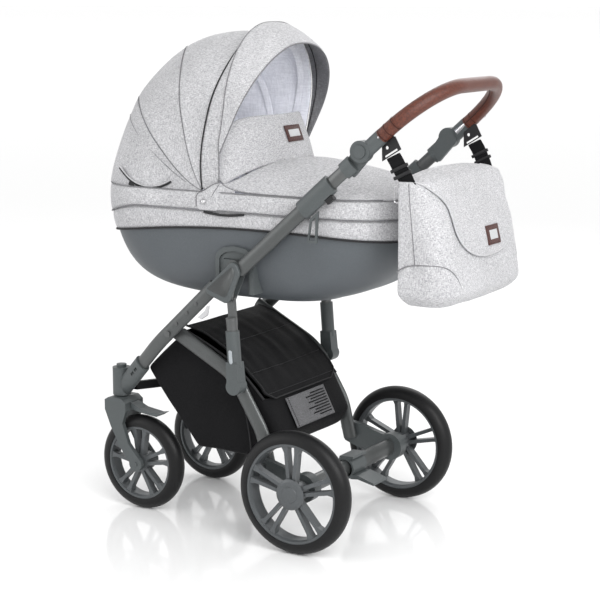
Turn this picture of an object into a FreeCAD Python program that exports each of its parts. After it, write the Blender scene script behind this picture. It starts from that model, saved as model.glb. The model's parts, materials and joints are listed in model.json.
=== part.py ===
import FreeCAD, Part
import math
import os

import Sketcher

# A baby stroller: a folding frame on four wheels, a carrycot with a folding hood, an apron
# and a bag.  Millimetres, +Z up, -X is the front.  Every shape is drawn in the axle frame
# (X from the rear axle, Y from the middle, Z from the ground) and placed by `axle_x`.

Vec = FreeCAD.Vector
doc = FreeCAD.newDocument("Stroller")
sheet = doc.addObject("Spreadsheet::Sheet", "Sizes")

DRIVING = {
    "axle_x": 151.1,            # rear axle from the middle of the whole stroller
    "rear_wheel_d": 300, "rear_tyre_w": 50, "rear_track": 533,
    "front_wheel_d": 247, "front_tyre_w": 45, "front_track": 316.6, "front_axle_x": -524,
    "swivel_x": -590, "head_d": 47, "head_base": 294, "head_top": 366,
    "tube_wide": 36, "tube_thick": 20, "tube_wall": 1.6, "slide_gap": 0.4,
    "handle_y": 223.7, "handle_angle": 41.4, "frame_y": 223.7, "leg_y": 197, "strut_y": 225,
    "hub_x": -195, "hub_z": 670, "leg_pivot_x": -388, "leg_pivot_z": 486,
    "strut_foot_x": -192, "strut_foot_z": 376, "strut_top_x": -209, "strut_top_z": 592,
    "cheek_in": 209.8, "cheek_t": 3, "cover_in": 234.6, "cover_t": 8.4,
    "pin_d": 10, "axle_d": 12, "axle_z": 150,
    "tilt_x": 150, "tilt_z": 960, "disc_d": 50,
    "grip_d": 34, "grip_y": 220.5, "grip_bend": 150, "grip_end": 322,
    "shell_base": 578, "shell_rim": 756, "shell_wall": 5, "cot_half": 204, "cot_head": -650,
    "cot_foot": 216, "band_top": 838, "band_t": 12,
    "hood_x": -300, "hood_z": 842, "hood_corner": 90,
    "bag_half": 213, "bag_back": 236, "bag_base": 600, "bag_top": 895, "bag_wall": 5,
    "basket_half": 178, "basket_wall": 4,
}


class Dim:
    """A size: its value now, and the spreadsheet expression that it follows."""

    def __init__(self, text, value):
        self.text = text
        self.value = value

    def _with(self, sign, other, value):
        return Dim("(%s %s %s)" % (self.text, sign, wrap(other).text), value)

    def __add__(self, other):
        return self._with("+", other, self.value + float(other))

    def __sub__(self, other):
        return self._with("-", other, self.value - float(other))

    def __mul__(self, other):
        return self._with("*", other, self.value * float(other))

    def __truediv__(self, other):
        return self._with("/", other, self.value / float(other))

    def __neg__(self):
        return Dim("(0 - %s)" % self.text, -self.value)

    def __float__(self):
        return self.value


def wrap(number):
    """A Dim as it is, and a plain number as a constant Dim."""
    return number if isinstance(number, Dim) else Dim("%.6f" % number, float(number))


class Sizes:
    """The spreadsheet's cells by name."""

    def __getattr__(self, name):
        return Dim("Sizes." + name, float(DRIVING[name]))


for row, (alias, value) in enumerate(DRIVING.items(), 1):
    sheet.set("A%d" % row, alias)
    sheet.set("B%d" % row, str(value))
    sheet.setAlias("B%d" % row, alias)
doc.recompute()
size = Sizes()
SIDES = {"left": -1, "right": 1}
sub_parts = []


# ---------------------------------------------------------------- helpers


def place(item, x=0.0, y=0.0, z=0.0):
    """Put a sub-part's own origin at a point of the axle frame."""
    item.setExpression("Placement.Base.x", (wrap(x) + size.axle_x).text)
    item.setExpression("Placement.Base.y", wrap(y).text)
    item.setExpression("Placement.Base.z", wrap(z).text)


def solid(label, shape, keep=True):
    """A sub-part whose shape is made with Part's functions."""
    item = doc.addObject("Part::Feature", label)
    item.Label = label
    item.Shape = Part.Compound([shape])
    place(item)
    if keep:
        sub_parts.append(item)
    return item


def group(label, members):
    """One node made of several separate pieces."""
    item = doc.addObject("Part::Compound", label)
    item.Label = label
    item.Links = members
    sub_parts.append(item)
    return item


def new_body(label, x=0.0, y=0.0, z=0.0, keep=True):
    """A PartDesign body placed in the axle frame."""
    body = doc.addObject("PartDesign::Body", label)
    body.Label = label
    place(body, x, y, z)
    if keep:
        sub_parts.append(body)
    return body


def origin_feature(body, role):
    """One of a body's own origin planes or axes."""
    return [f for f in body.Origin.OriginFeatures if f.Role == role][0]


def new_sketch(body, role, offset=0.0):
    """A sketch on a body's origin plane, moved along the plane's normal."""
    sketch = body.newObject("Sketcher::SketchObject", "Sketch")
    sketch.AttachmentSupport = [(origin_feature(body, role), "")]
    sketch.MapMode = "FlatFace"
    sketch.setExpression("AttachmentOffset.Base.z", wrap(offset).text)
    return sketch


def bind(sketch, kind, *items):
    """Add a dimension to a sketch; the last item is the size that it follows."""
    number = sketch.addConstraint(Sketcher.Constraint(kind, *items[:-1], float(items[-1])))
    sketch.setExpression("Constraints[%d]" % number, wrap(items[-1]).text)


def circle(sketch, x, y, radius):
    """A circle fixed by its centre and radius."""
    centre = Vec(float(x), float(y), 0)
    number = sketch.addGeometry(Part.Circle(centre, Vec(0, 0, 1), float(radius)))
    bind(sketch, "DistanceX", number, 3, x)
    bind(sketch, "DistanceY", number, 3, y)
    bind(sketch, "Radius", number, radius)


def outline(sketch, points):
    """A closed outline of straight lines whose corners follow the sheet."""
    corners = [Vec(float(x), float(y), 0) for x, y in points]
    first = None
    last = None
    for corner, after in zip(corners, corners[1:] + corners[:1]):
        last = sketch.addGeometry(Part.LineSegment(corner, after))
        if first is None:
            first = last
        else:
            sketch.addConstraint(Sketcher.Constraint("Coincident", last - 1, 2, last, 1))
    sketch.addConstraint(Sketcher.Constraint("Coincident", last, 2, first, 1))
    for number, (x, y) in enumerate(points):
        bind(sketch, "DistanceX", first + number, 1, x)
        bind(sketch, "DistanceY", first + number, 1, y)


def pad(body, sketch, length, middle=False):
    """Extrude a sketch along its plane's normal."""
    feature = body.newObject("PartDesign::Pad", "Pad")
    feature.Profile = sketch
    feature.SideType = "Symmetric" if middle else "One side"
    feature.setExpression("Length", wrap(length).text)
    doc.recompute()
    return feature


def pocket(body, sketch, length, reverse=False):
    """Cut a sketch into a body, and make sure that it cut something."""
    before = body.Shape.Volume
    feature = body.newObject("PartDesign::Pocket", "Pocket")
    feature.Profile = sketch
    feature.setExpression("Length", wrap(length).text)
    feature.Reversed = reverse
    doc.recompute()
    if body.Shape.Volume > before - 1:
        raise RuntimeError("pocket cuts nothing in " + body.Label)
    return feature


def revolve(body, sketch, axis="Y_Axis"):
    """Turn a sketch once round one of the body's axes."""
    feature = body.newObject("PartDesign::Revolution", "Revolution")
    feature.Profile = sketch
    feature.ReferenceAxis = (origin_feature(body, axis), [""])
    feature.Angle = 360
    doc.recompute()
    return feature


def round_edges(body, radius, wanted):
    """Fillet the edges of a body's tip that `wanted` accepts."""
    tip = body.Tip
    names = ["Edge%d" % n for n, edge in enumerate(tip.Shape.Edges, 1) if wanted(edge)]
    feature = body.newObject("PartDesign::Fillet", "Fillet")
    feature.Base = (tip, names)
    feature.setExpression("Radius", wrap(radius).text)
    doc.recompute()
    return feature


def along(axis):
    """A test for straight edges parallel to an axis."""

    def wanted(edge):
        if edge.Curve.TypeId != "Part::GeomLine":
            return False
        return abs(edge.tangentAt(edge.FirstParameter).dot(axis)) > 0.999

    return wanted


ALONG_Y = along(Vec(0, 1, 0))


def side_plate(label, side, points, inner, thick, corner, keep=True):
    """A plate parallel to XZ with rounded corners, `inner` out from the middle."""
    body = new_body(label, keep=keep)
    sketch = new_sketch(body, "XZ_Plane", inner if side < 0 else -(wrap(inner) + thick))
    outline(sketch, points)
    pad(body, sketch, thick)
    if float(corner) > 0:
        round_edges(body, corner, ALONG_Y)
    return body


def cross_block(label, points, width, corner, keep=True):
    """A block with an XZ outline, centred on the middle plane."""
    body = new_body(label, keep=keep)
    sketch = new_sketch(body, "XZ_Plane")
    outline(sketch, points)
    pad(body, sketch, width, middle=True)
    if float(corner) > 0:
        round_edges(body, corner, ALONG_Y)
    return body


def rod_y(x, z, radius, low, high):
    """A round bar along Y between two heights of Y."""
    start = Vec(float(x), float(low), float(z))
    return Part.makeCylinder(float(radius), float(high) - float(low), start, Vec(0, 1, 0))


def side_rod(side, x, z, radius, inner, outer):
    """A round bar along Y on one side of the stroller."""
    low, high = sorted((side * float(inner), side * float(outer)))
    return rod_y(x, z, radius, low, high)


def prism_y(points, low, high):
    """An XZ outline pushed along Y."""
    corners = [Vec(float(x), float(low), float(z)) for x, z in points]
    face = Part.Face(Part.makePolygon(corners + corners[:1]))
    return face.extrude(Vec(0, float(high) - float(low), 0))


def side_prism(side, points, inner, outer):
    """An XZ outline pushed along Y on one side of the stroller."""
    low, high = sorted((side * float(inner), side * float(outer)))
    return prism_y(points, low, high)


def route(points, radius):
    """A wire of straight runs joined by tangent arcs."""
    edges = []
    start = points[0]
    for before, corner, after in zip(points, points[1:], points[2:]):
        back = (before - corner).normalize()
        ahead = (after - corner).normalize()
        half = back.getAngle(ahead) / 2
        reach = radius / math.tan(half)
        middle = (back + ahead).normalize() * (radius / math.sin(half) - radius)
        first = corner + back * reach
        last = corner + ahead * reach
        edges.append(Part.LineSegment(start, first).toShape())
        edges.append(Part.Arc(first, corner + middle, last).toShape())
        start = last
    edges.append(Part.LineSegment(start, points[-1]).toShape())
    return Part.Wire(edges)


def oval_bar(wire, wide, thick):
    """An oval section, its wide way across Y, carried along a wire."""
    edge = wire.Edges[0]
    start = edge.valueAt(edge.FirstParameter)
    ahead = edge.tangentAt(edge.FirstParameter)
    across = Vec(0, 1, 0)
    up = ahead.cross(across).normalize()
    flat = up.cross(ahead).normalize()
    if wide > thick:
        curve = Part.Ellipse(start + up * (wide / 2), start + flat * (thick / 2), start)
    else:
        curve = Part.Circle(start, ahead, wide / 2)
    shell = Part.BRepOffsetAPI.MakePipeShell(wire)
    shell.setBiNormalMode(across)
    shell.add(Part.Wire([curve.toShape()]))
    shell.build()
    shell.makeSolid()
    return shell.shape()


def oval_tube(wire, wide, thick, wall):
    """A hollow oval tube along a wire."""
    return oval_bar(wire, wide, thick).cut(oval_bar(wire, wide - 2 * wall, thick - 2 * wall))


def on_handle(x, y, lift=0.0):
    """A point of the handle's centre line, `lift` above it, square to it."""
    angle = math.radians(float(size.handle_angle))
    base = Vec(-190.0, y, 653.0)
    ahead = Vec(math.cos(angle), 0, math.sin(angle))
    up = Vec(-math.sin(angle), 0, math.cos(angle))
    return base + ahead * ((x + 190.0) / math.cos(angle)) + up * lift


def plan_wire(x0, x1, half, corner, z):
    """A rounded rectangle in plan at one height."""
    points = [
        Vec(x0 + corner, -half, z), Vec(x1 - corner, -half, z),
        Vec(x1, -half + corner, z), Vec(x1, half - corner, z),
        Vec(x1 - corner, half, z), Vec(x0 + corner, half, z),
        Vec(x0, half - corner, z), Vec(x0, -half + corner, z),
    ]
    bulge = corner * (1 - math.sqrt(0.5))
    middles = [
        Vec(x1 - bulge, -half + bulge, z), Vec(x1 - bulge, half - bulge, z),
        Vec(x0 + bulge, half - bulge, z), Vec(x0 + bulge, -half + bulge, z),
    ]
    edges = []
    for number in range(4):
        first, second = points[2 * number], points[2 * number + 1]
        after = points[(2 * number + 2) % 8]
        edges.append(Part.LineSegment(first, second).toShape())
        edges.append(Part.Arc(second, middles[number], after).toShape())
    return Part.Wire(edges)


# ---------------------------------------------------------------- wheels


def make_tyre(label, x, y, z, outer, width):
    """A solid rubber tyre with a round tread."""
    body = new_body(label, x, y, z)
    sketch = new_sketch(body, "YZ_Plane")
    half = width / 2
    low = outer - 28
    arc = Part.Arc(Vec(float(half), float(low), 0), Vec(0, float(outer), 0),
                   Vec(-float(half), float(low), 0))
    tread = sketch.addGeometry(arc)
    seat = sketch.addGeometry(Part.LineSegment(arc.EndPoint, arc.StartPoint))
    sketch.addConstraint(Sketcher.Constraint("Coincident", tread, 2, seat, 1))
    sketch.addConstraint(Sketcher.Constraint("Coincident", seat, 2, tread, 1))
    bind(sketch, "DistanceX", tread, 1, half)
    bind(sketch, "DistanceY", tread, 1, low)
    bind(sketch, "DistanceX", tread, 2, -half)
    bind(sketch, "DistanceY", tread, 2, low)
    bind(sketch, "Radius", tread, (half * half + 28 * 28.0) / 56)
    revolve(body, sketch)
    return body


def make_rim(label, side, x, y, z, outer, width):
    """A deep plastic rim on five double spokes."""
    body = new_body(label, x, y, z)
    seat = outer - 28.2
    barrel = new_sketch(body, "YZ_Plane")
    half = width / 2 - 2
    outline(barrel, [(-half, seat), (-half, seat - 6), (-half + 7, seat - 9),
                     (half - 7, seat - 9), (half, seat - 6), (half, seat)])
    revolve(body, barrel)
    hub = new_sketch(body, "YZ_Plane")
    outline(hub, [(-half, size.axle_d / 2 + 0.2), (-half, 24), (half, 24),
                  (half, size.axle_d / 2 + 0.2)])
    revolve(body, hub)
    spoke = new_sketch(body, "XZ_Plane", -half + 2 if side > 0 else half - 22)
    reach = seat - 7
    for hand in (-1, 1):
        outline(spoke, [(hand * 1.5, 20), (hand * 11.0, 20), (hand * 18.5, reach - 16),
                        (hand * 27.0, reach), (hand * 9.0, reach), (hand * 9.5, reach - 16)])
    arms = pad(body, spoke, 20)
    ring = body.newObject("PartDesign::PolarPattern", "Spokes")
    ring.Originals = [arms]
    ring.Axis = (origin_feature(body, "Y_Axis"), [""])
    ring.Angle = 360
    ring.Occurrences = 5
    body.Tip = ring
    doc.recompute()
    return body


def make_hub_cap(label, side, x, y, z):
    """A round cap with a raised disc, on the outside of a rear wheel."""
    body = new_body(label, x, y, z)
    sketch = new_sketch(body, "YZ_Plane")
    outline(sketch, [(0, 0), (0, 37.5), (side * 2.0, 37.5), (side * 5.0, 31), (side * 5.0, 20),
                     (side * 6.5, 19), (side * 6.5, 0)])
    revolve(body, sketch)
    return body


for name, side in SIDES.items():
    rear_at = (0, size.rear_track * (side / 2), size.axle_z)
    rear_r = size.rear_wheel_d / 2
    make_tyre("rear_tyre_" + name, *rear_at, rear_r, size.rear_tyre_w)
    make_rim("rear_rim_" + name, side, *rear_at, rear_r, size.rear_tyre_w)
    cap_y = size.rear_track * (side / 2) + side * (size.rear_tyre_w.value / 2 - 2 + 0.2)
    make_hub_cap("rear_hub_cap_" + name, side, 0, cap_y, size.axle_z)
    front_r = size.front_wheel_d / 2
    front_at = (size.front_axle_x, size.front_track * (side / 2), front_r)
    make_tyre("front_tyre_" + name, *front_at, front_r, size.front_tyre_w)
    make_rim("front_rim_" + name, side, *front_at, front_r, size.front_tyre_w)


# ---------------------------------------------------------------- front forks


def make_fork(label, side):
    """A swivelling fork: crown, two arms, stem and the axle bolt between the arms."""
    middle = side * float(size.front_track) / 2
    base = float(size.front_axle_x)
    axle_z = float(size.front_wheel_d) / 2
    arm = [(-618, 258), (-618, 284), (-606, 291), (-566, 291), (-552, 280), (-552, 258),
           (-563, 226), (-545, 175), (base + 17, axle_z + 8), (base - 4, axle_z - 17),
           (-568, 158), (-600, 215)]
    parts = []
    for low in (-38, 26):
        parts.append(prism_y(arm, middle + low, middle + low + 12))
        parts.append(rod_y(base, axle_z, 19, middle + low, middle + low + 12))
    crown = [(-618, 258), (-618, 284), (-606, 291), (-566, 291), (-552, 280), (-552, 258)]
    parts.append(prism_y(crown, middle - 30, middle + 30))
    parts.append(rod_y(base, axle_z, 6, middle - 40, middle + 41))
    foot = Vec(float(size.swivel_x), middle, 285)
    parts.append(Part.makeCylinder(10, 70, foot))
    whole = parts[0].multiFuse(parts[1:])
    return solid(label, whole.removeSplitter())


def make_swivel_lever(label, side):
    """The paddle behind a fork that locks its swivel."""
    middle = float(size.front_track) / 2
    points = [(-549.5, 279), (-549.5, 263), (-520, 256), (-470, 251), (-452, 262),
              (-470, 259), (-520, 266)]
    return side_plate(label, side, points, middle - 17, 34, 0)


for name, side in SIDES.items():
    make_fork("fork_" + name, side)
    make_swivel_lever("swivel_lever_" + name, side)


# ---------------------------------------------------------------- fixed front frame

PIN = float(size.pin_d) / 2


def front_route(side):
    """The centre line of a front tube, from the hub down to the fork's head."""
    y = side * float(size.frame_y)
    top = Vec(-252, y, 617)
    bend = Vec(-425, y, 456)
    foot = Vec(-577, side * 163.0, 316)
    return [top, bend, foot]


def make_front_tube(label, side):
    """An oval front tube, drilled for the rear leg's pivot pin."""
    wall = float(size.tube_wall)
    tube = oval_tube(route(front_route(side), 260), float(size.tube_wide),
                     float(size.tube_thick), wall)
    pin = side_rod(side, size.leg_pivot_x, size.leg_pivot_z, PIN + 0.05, 180, 245)
    head = head_cylinder(side, 0.3)
    return solid(label, tube.cut(pin).cut(head))


def head_cylinder(side, grow=0.0):
    """The upright housing that holds a fork's stem."""
    foot = Vec(float(size.swivel_x), side * float(size.front_track) / 2, float(size.head_base))
    height = float(size.head_top) - float(size.head_base)
    return Part.makeCylinder(float(size.head_d) / 2 + grow, height, foot)


def make_fork_socket(label, side):
    """The casting at a front tube's foot: a sleeve and the swivel's housing."""
    top, bend, foot = front_route(side)
    ahead = (bend - foot).normalize()
    sleeve = oval_bar(Part.Wire(Part.LineSegment(foot, foot + ahead * 118).toShape()), 46, 29)
    hole = oval_bar(Part.Wire(Part.LineSegment(foot, foot + ahead * 140).toShape()),
                    float(size.tube_wide) + 0.4, float(size.tube_thick) + 0.4)
    middle = side * float(size.front_track) / 2
    stem = Part.makeCylinder(10.2, 65, Vec(float(size.swivel_x), middle, 292))
    knob = Part.makeCylinder(13, 8, Vec(float(size.swivel_x), middle, float(size.head_top)))
    shape = sleeve.cut(hole).fuse([head_cylinder(side), knob]).cut(stem)
    for lift in (72, 92):
        spot = foot + ahead * lift
        slot = Part.makeBox(7, 60, 14, Vec(-3.5, -30, -7))
        slot.rotate(Vec(0, 0, 0), Vec(0, 1, 0), 48)
        slot.translate(spot + Vec(0, side * 40, 0))
        shape = shape.cut(slot)
    return solid(label, max(shape.Solids, key=lambda piece: piece.Volume), keep=False)


HUB_OUTLINE = [(-186, 690), (-170, 656), (-205, 577), (-280, 604)]


def make_hub_cheeks():
    """The inner cheeks of both hubs, each with the post that the carrycot sits on."""
    members = []
    for name, side in SIDES.items():
        cheek = side_plate("hub_cheek_" + name, side, HUB_OUTLINE, size.cheek_in,
                           size.cheek_t, 12, keep=False)
        post = side_prism(side, [(-236, 650), (-175, 650), (-175, 682), (-236, 682)],
                          198.5, size.cheek_in)
        post_item = solid("carrycot_post_" + name, post, keep=False)
        members += [cheek, post_item]
    return group("hub_plates", members)


def make_hub_cover(label, side):
    """The smooth outer cover of a hub."""
    body = side_plate(label, side, HUB_OUTLINE, size.cover_in, size.cover_t, 14, keep=False)
    outer = side * (float(size.cover_in) + float(size.cover_t))

    def on_outside(edge):
        return abs(edge.BoundBox.YMin - outer) < 0.01 and abs(edge.BoundBox.YMax - outer) < 0.01

    round_edges(body, 4, on_outside)
    return body


def make_pins():
    """The pivot pins of the handle and the rear legs, and the front tubes' rivets."""
    pieces = []
    for side in SIDES.values():
        pieces.append(side_rod(side, size.hub_x, size.hub_z, PIN, size.cheek_in + 3, 234.6))
        pieces.append(side_rod(side, size.leg_pivot_x, size.leg_pivot_z, PIN, 188, 233.6))
        pieces.append(side_rod(side, size.leg_pivot_x, size.leg_pivot_z, 8, 233.8, 237.5))
        for x, z in ((-303, 569.5), (-330, 544.4), (-362, 514.6)):
            pieces.append(side_rod(side, x, z, 4.5, 233.8, 236))
    items = [solid("pin_%d" % n, piece, keep=False) for n, piece in enumerate(pieces)]
    return group("pivot_pins", items)


def make_cross_bar():
    """The bowed bar between the two fork sockets."""
    points = [Vec(-572, -133, 314), Vec(-528, -60, 314), Vec(-528, 60, 314), Vec(-572, 133, 314)]
    wire = route(points, 70)
    section = Part.Wire(Part.makePolygon([
        Vec(-572, -133, 303), Vec(-560, -133, 303), Vec(-560, -133, 325), Vec(-572, -133, 325),
        Vec(-572, -133, 303)]))
    shell = Part.BRepOffsetAPI.MakePipeShell(wire)
    shell.setBiNormalMode(Vec(0, 0, 1))
    shell.add(section)
    shell.build()
    shell.makeSolid()
    return solid("front_cross_bar", shell.shape())


for name, side in SIDES.items():
    make_front_tube("front_tube_" + name, side)
group("fork_sockets", [make_fork_socket("fork_socket_" + n, s) for n, s in SIDES.items()])
group("hub_covers", [make_hub_cover("hub_cover_" + n, s) for n, s in SIDES.items()])
make_hub_cheeks()
make_pins()
make_cross_bar()


# ---------------------------------------------------------------- shopping basket

BASKET = [(-498, 379), (-379, 489), (-277, 449), (-192, 389), (-145, 338), (-100, 250),
          (-130, 205), (-200, 190), (-343, 190)]
BASKET_LID = [(-381, 492), (-379, 496), (-274, 455), (-188, 394), (-140, 342), (-143, 339),
              (-191, 390.5), (-276, 450.5)]


def make_basket():
    """A cloth basket, open along its sloping top."""
    body = cross_block("basket", BASKET, size.basket_half * 2, 8)
    inside = new_sketch(body, "XZ_Plane")
    outline(inside, [(-489, 381), (-388, 475), (-374, 520), (-120, 380), (-143, 332),
                     (-106, 250), (-133, 210), (-202, 195), (-340, 195)])
    hollow = pocket(body, inside, (size.basket_half - size.basket_wall) * 2)
    hollow.SideType = "Symmetric"
    doc.recompute()
    return body


make_basket()
cross_block("basket_lid", BASKET_LID, 344, 0)


# ---------------------------------------------------------------- rear legs and axle


def make_rear_leg(label, side):
    """A bent oval leg from the front tube's pivot to the rear axle."""
    y = side * float(size.leg_y)
    points = [Vec(-402, y, 493), Vec(-216, y, 395), Vec(-136, y, 262), Vec(-112, y, 162)]
    tube = oval_tube(route(points, 150), 38, float(size.tube_thick), float(size.tube_wall))
    for x, z in ((size.leg_pivot_x, size.leg_pivot_z), (size.strut_foot_x, size.strut_foot_z)):
        tube = tube.cut(side_rod(side, x, z, PIN + 0.2, 180, 215))
    return solid(label, tube)


def make_axle_brackets():
    """The castings that join the legs' feet to the axle, with the brakes' round housings."""
    items = []
    for name, side in SIDES.items():
        arm = side_prism(side, [(-146, 186), (-128, 204), (-92, 200), (-20, 180), (0, 150),
                                (-20, 118), (-96, 136), (-134, 150)], 207.4, 224)
        dome = side_rod(side, 0, size.axle_z, 35, 204, 234)
        bore = side_rod(side, 0, size.axle_z, 6.1, 200, 240)
        shape = dome.fuse(arm)
        for x, z in ((-118, 188), (-106, 160)):
            shape = shape.fuse(side_rod(side, x, z, 6, 220, 228))
        items.append(solid("axle_bracket_" + name, shape.cut(bore), keep=False))
    return group("axle_brackets", items)


def make_rear_axle():
    """A hollow oval beam round the steel shaft that carries the rear wheels."""
    start = Vec(0, -203.5, float(size.axle_z))
    wide = Part.Ellipse(start + Vec(0, 0, 22), start + Vec(15, 0, 0), start)
    beam = Part.Face(Part.Wire([wide.toShape()])).extrude(Vec(0, 407, 0))
    hollow = Part.Ellipse(start + Vec(0, 0, 19), start + Vec(12, 0, 0), start)
    beam = beam.cut(Part.Face(Part.Wire([hollow.toShape()])).extrude(Vec(0, 407, 0)))
    shaft = rod_y(0, size.axle_z, size.axle_d / 2, -288, 288)
    web = Part.makeBox(3, 407, 40, Vec(-1.5, -203.5, float(size.axle_z) - 20))
    return solid("rear_axle", beam.fuse([web, shaft]))


def make_brake_pedal():
    """The rocker on the axle beam with its two foot pads."""
    z = float(size.axle_z)
    ring = rod_y(0, z, 28, -34, 34)
    lower = prism_y([(20, z - 14), (38, z - 12), (84, z - 26), (84, z - 32), (40, z - 22),
                     (18, z - 24)], -34, 34)
    upper = prism_y([(-16, z + 20), (-12, z + 32), (26, z + 34), (26, z + 28), (12, z + 20)],
                    -34, 34)
    bore = rod_y(0, z, 22.8, -40, 40)
    return solid("brake_pedal", ring.fuse([lower, upper]).cut(bore))


for name, side in SIDES.items():
    make_rear_leg("rear_leg_" + name, side)
make_axle_brackets()
make_rear_axle()
make_brake_pedal()


# ---------------------------------------------------------------- suspension struts

STRUT_FOOT = Vec(float(size.strut_foot_x), 0, float(size.strut_foot_z))
STRUT_TOP = Vec(float(size.strut_top_x), 0, float(size.strut_top_z))
STRUT_UP = (STRUT_TOP - STRUT_FOOT).normalize()


def strut_cylinder(side, radius, start, end):
    """A cylinder on a strut's axis between two distances from its foot."""
    base = STRUT_FOOT + STRUT_UP * start + Vec(0, side * float(size.strut_y), 0)
    return Part.makeCylinder(radius, end - start, base, STRUT_UP)


def make_strut_sleeves():
    """The lower halves of the struts, each with its boss beside the leg."""
    items = []
    for name, side in SIDES.items():
        tube = strut_cylinder(side, 17, 46, 136)
        boss = side_rod(side, size.strut_foot_x, size.strut_foot_z, 20, 208, 242)
        low = STRUT_FOOT
        top = STRUT_FOOT + STRUT_UP * 60
        ear = side_prism(side, [(low.x - 17, low.z), (low.x + 17, low.z),
                                (top.x + 15, top.z), (top.x - 15, top.z)], 208, 242)
        pin = side_rod(side, size.strut_foot_x, size.strut_foot_z, PIN, 188, 208.5)
        bore = strut_cylinder(side, 13.8, 62, 140)
        shape = tube.fuse([boss, ear]).cut(bore).fuse(pin)
        items.append(solid("strut_sleeve_" + name, shape, keep=False))
    return group("strut_sleeves", items)


def make_strut_rods():
    """The upper halves, which slide in the sleeves and end in a flat eye."""
    items = []
    for name, side in SIDES.items():
        rod = strut_cylinder(side, 13.5, 100, 168)
        neck = STRUT_FOOT + STRUT_UP * 150
        eye = side_rod(side, size.strut_top_x, size.strut_top_z, 11, 214, 224)
        ear = side_prism(side, [(neck.x - 10, neck.z), (neck.x + 10, neck.z),
                                (STRUT_TOP.x + 10, STRUT_TOP.z), (STRUT_TOP.x - 10, STRUT_TOP.z)],
                         214, 224)
        items.append(solid("strut_rod_" + name, rod.fuse([ear, eye]), keep=False))
    return group("strut_rods", items)


def make_strut_springs():
    """The coil springs inside the sleeves."""
    items = []
    for name, side in SIDES.items():
        spring = None
        for turn in range(5):
            centre = STRUT_FOOT + STRUT_UP * (65.5 + turn * 7.6)
            centre = centre + Vec(0, side * float(size.strut_y), 0)
            ring = Part.makeTorus(10.5, 1.6, centre, STRUT_UP)
            spring = ring if spring is None else spring.fuse(ring)
        items.append(solid("strut_spring_" + name, spring, keep=False))
    return group("strut_springs", items)


make_strut_sleeves()
make_strut_rods()
make_strut_springs()


# ---------------------------------------------------------------- push handle

HANDLE_SLOPE = math.radians(float(size.handle_angle))


def handle_wire(x0, x1, y):
    """A straight run of the handle's centre line."""
    return Part.Wire(Part.LineSegment(on_handle(x0, y), on_handle(x1, y)).toShape())


def make_handle_tube(label, side):
    """A lower handle tube with the lever at its foot that works the rear leg's strut."""
    y = side * float(size.handle_y)
    wire = handle_wire(-182, 72, y)
    outer = oval_bar(wire, float(size.tube_wide), float(size.tube_thick))
    wall = float(size.tube_wall)
    inner = oval_bar(handle_wire(-150, 80, y), float(size.tube_wide) - 2 * wall,
                     float(size.tube_thick) - 2 * wall)
    hub = side_rod(side, size.hub_x, size.hub_z, 16, 214, 233.5)
    top, foot = (float(size.hub_x), float(size.hub_z)), (STRUT_TOP.x, STRUT_TOP.z)
    lever = side_prism(side, [(foot[0] - 10, foot[1]), (foot[0] + 10, foot[1]),
                              (top[0] + 14, top[1]), (top[0] - 12, top[1])], 226, 232)
    end = side_rod(side, *foot, 10, 226, 232)
    pin = side_rod(side, size.hub_x, size.hub_z, PIN + 0.06, 200, 240)
    return solid(label, outer.fuse([hub, lever, end]).cut(inner).cut(pin))


def latch_block(side, length, width, low, high):
    """A block square to a handle tube, under its collar."""
    block = Part.makeBox(length, width, high - low, Vec(-length / 2, -width / 2, 0))
    block.rotate(Vec(0, 0, 0), Vec(0, 1, 0), -float(size.handle_angle))
    block.translate(on_handle(52, side * 225.5, low))
    return block


def make_collars():
    """The thick sleeves near the tops of the lower tubes, with their finger lugs."""
    items = []
    for name, side in SIDES.items():
        y = side * 225.5
        sleeve = oval_bar(handle_wire(-6, 71, y), 47, 25.6)
        middle = side * float(size.handle_y)
        hole = oval_bar(handle_wire(-20, 90, middle), float(size.tube_wide) + 0.2,
                        float(size.tube_thick) + 0.2)
        recess = latch_block(side, 24, 13, -24.5, -18.6)
        items.append(solid("collar_" + name, sleeve.cut([hole, recess]), keep=False))
    return group("collars", items)


def make_latches():
    """The telescope's thumb latches under the collars."""
    items = []
    for name, side in SIDES.items():
        items.append(solid("latch_" + name, latch_block(side, 22, 12, -33, -22), keep=False))
    return group("telescope_latches", items)


def make_release_loops():
    """The pull loops that hang under the collars and free the fold."""
    items = []
    for name, side in SIDES.items():
        low, high = sorted((side * 222.5, side * 227.5))
        outer = prism_y([(8, 742), (34, 742), (38, 817), (16, 799)], low, high)
        inner = prism_y([(13, 748), (29, 748), (31, 803), (19, 791)], low - 1, high + 1)
        items.append(solid("release_loop_" + name, outer.cut(inner), keep=False))
    return group("release_loops", items)


def make_inner_tubes():
    """The telescoping tubes inside the lower handle tubes."""
    items = []
    wall = float(size.tube_wall)
    gap = 2 * (wall + float(size.slide_gap))
    wide, thick = float(size.tube_wide) - gap, float(size.tube_thick) - gap
    for name, side in SIDES.items():
        tube = oval_tube(handle_wire(-100, 118, side * float(size.handle_y)), wide, thick, wall)
        items.append(solid("inner_tube_" + name, tube, keep=False))
    return group("inner_tubes", items)


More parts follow.
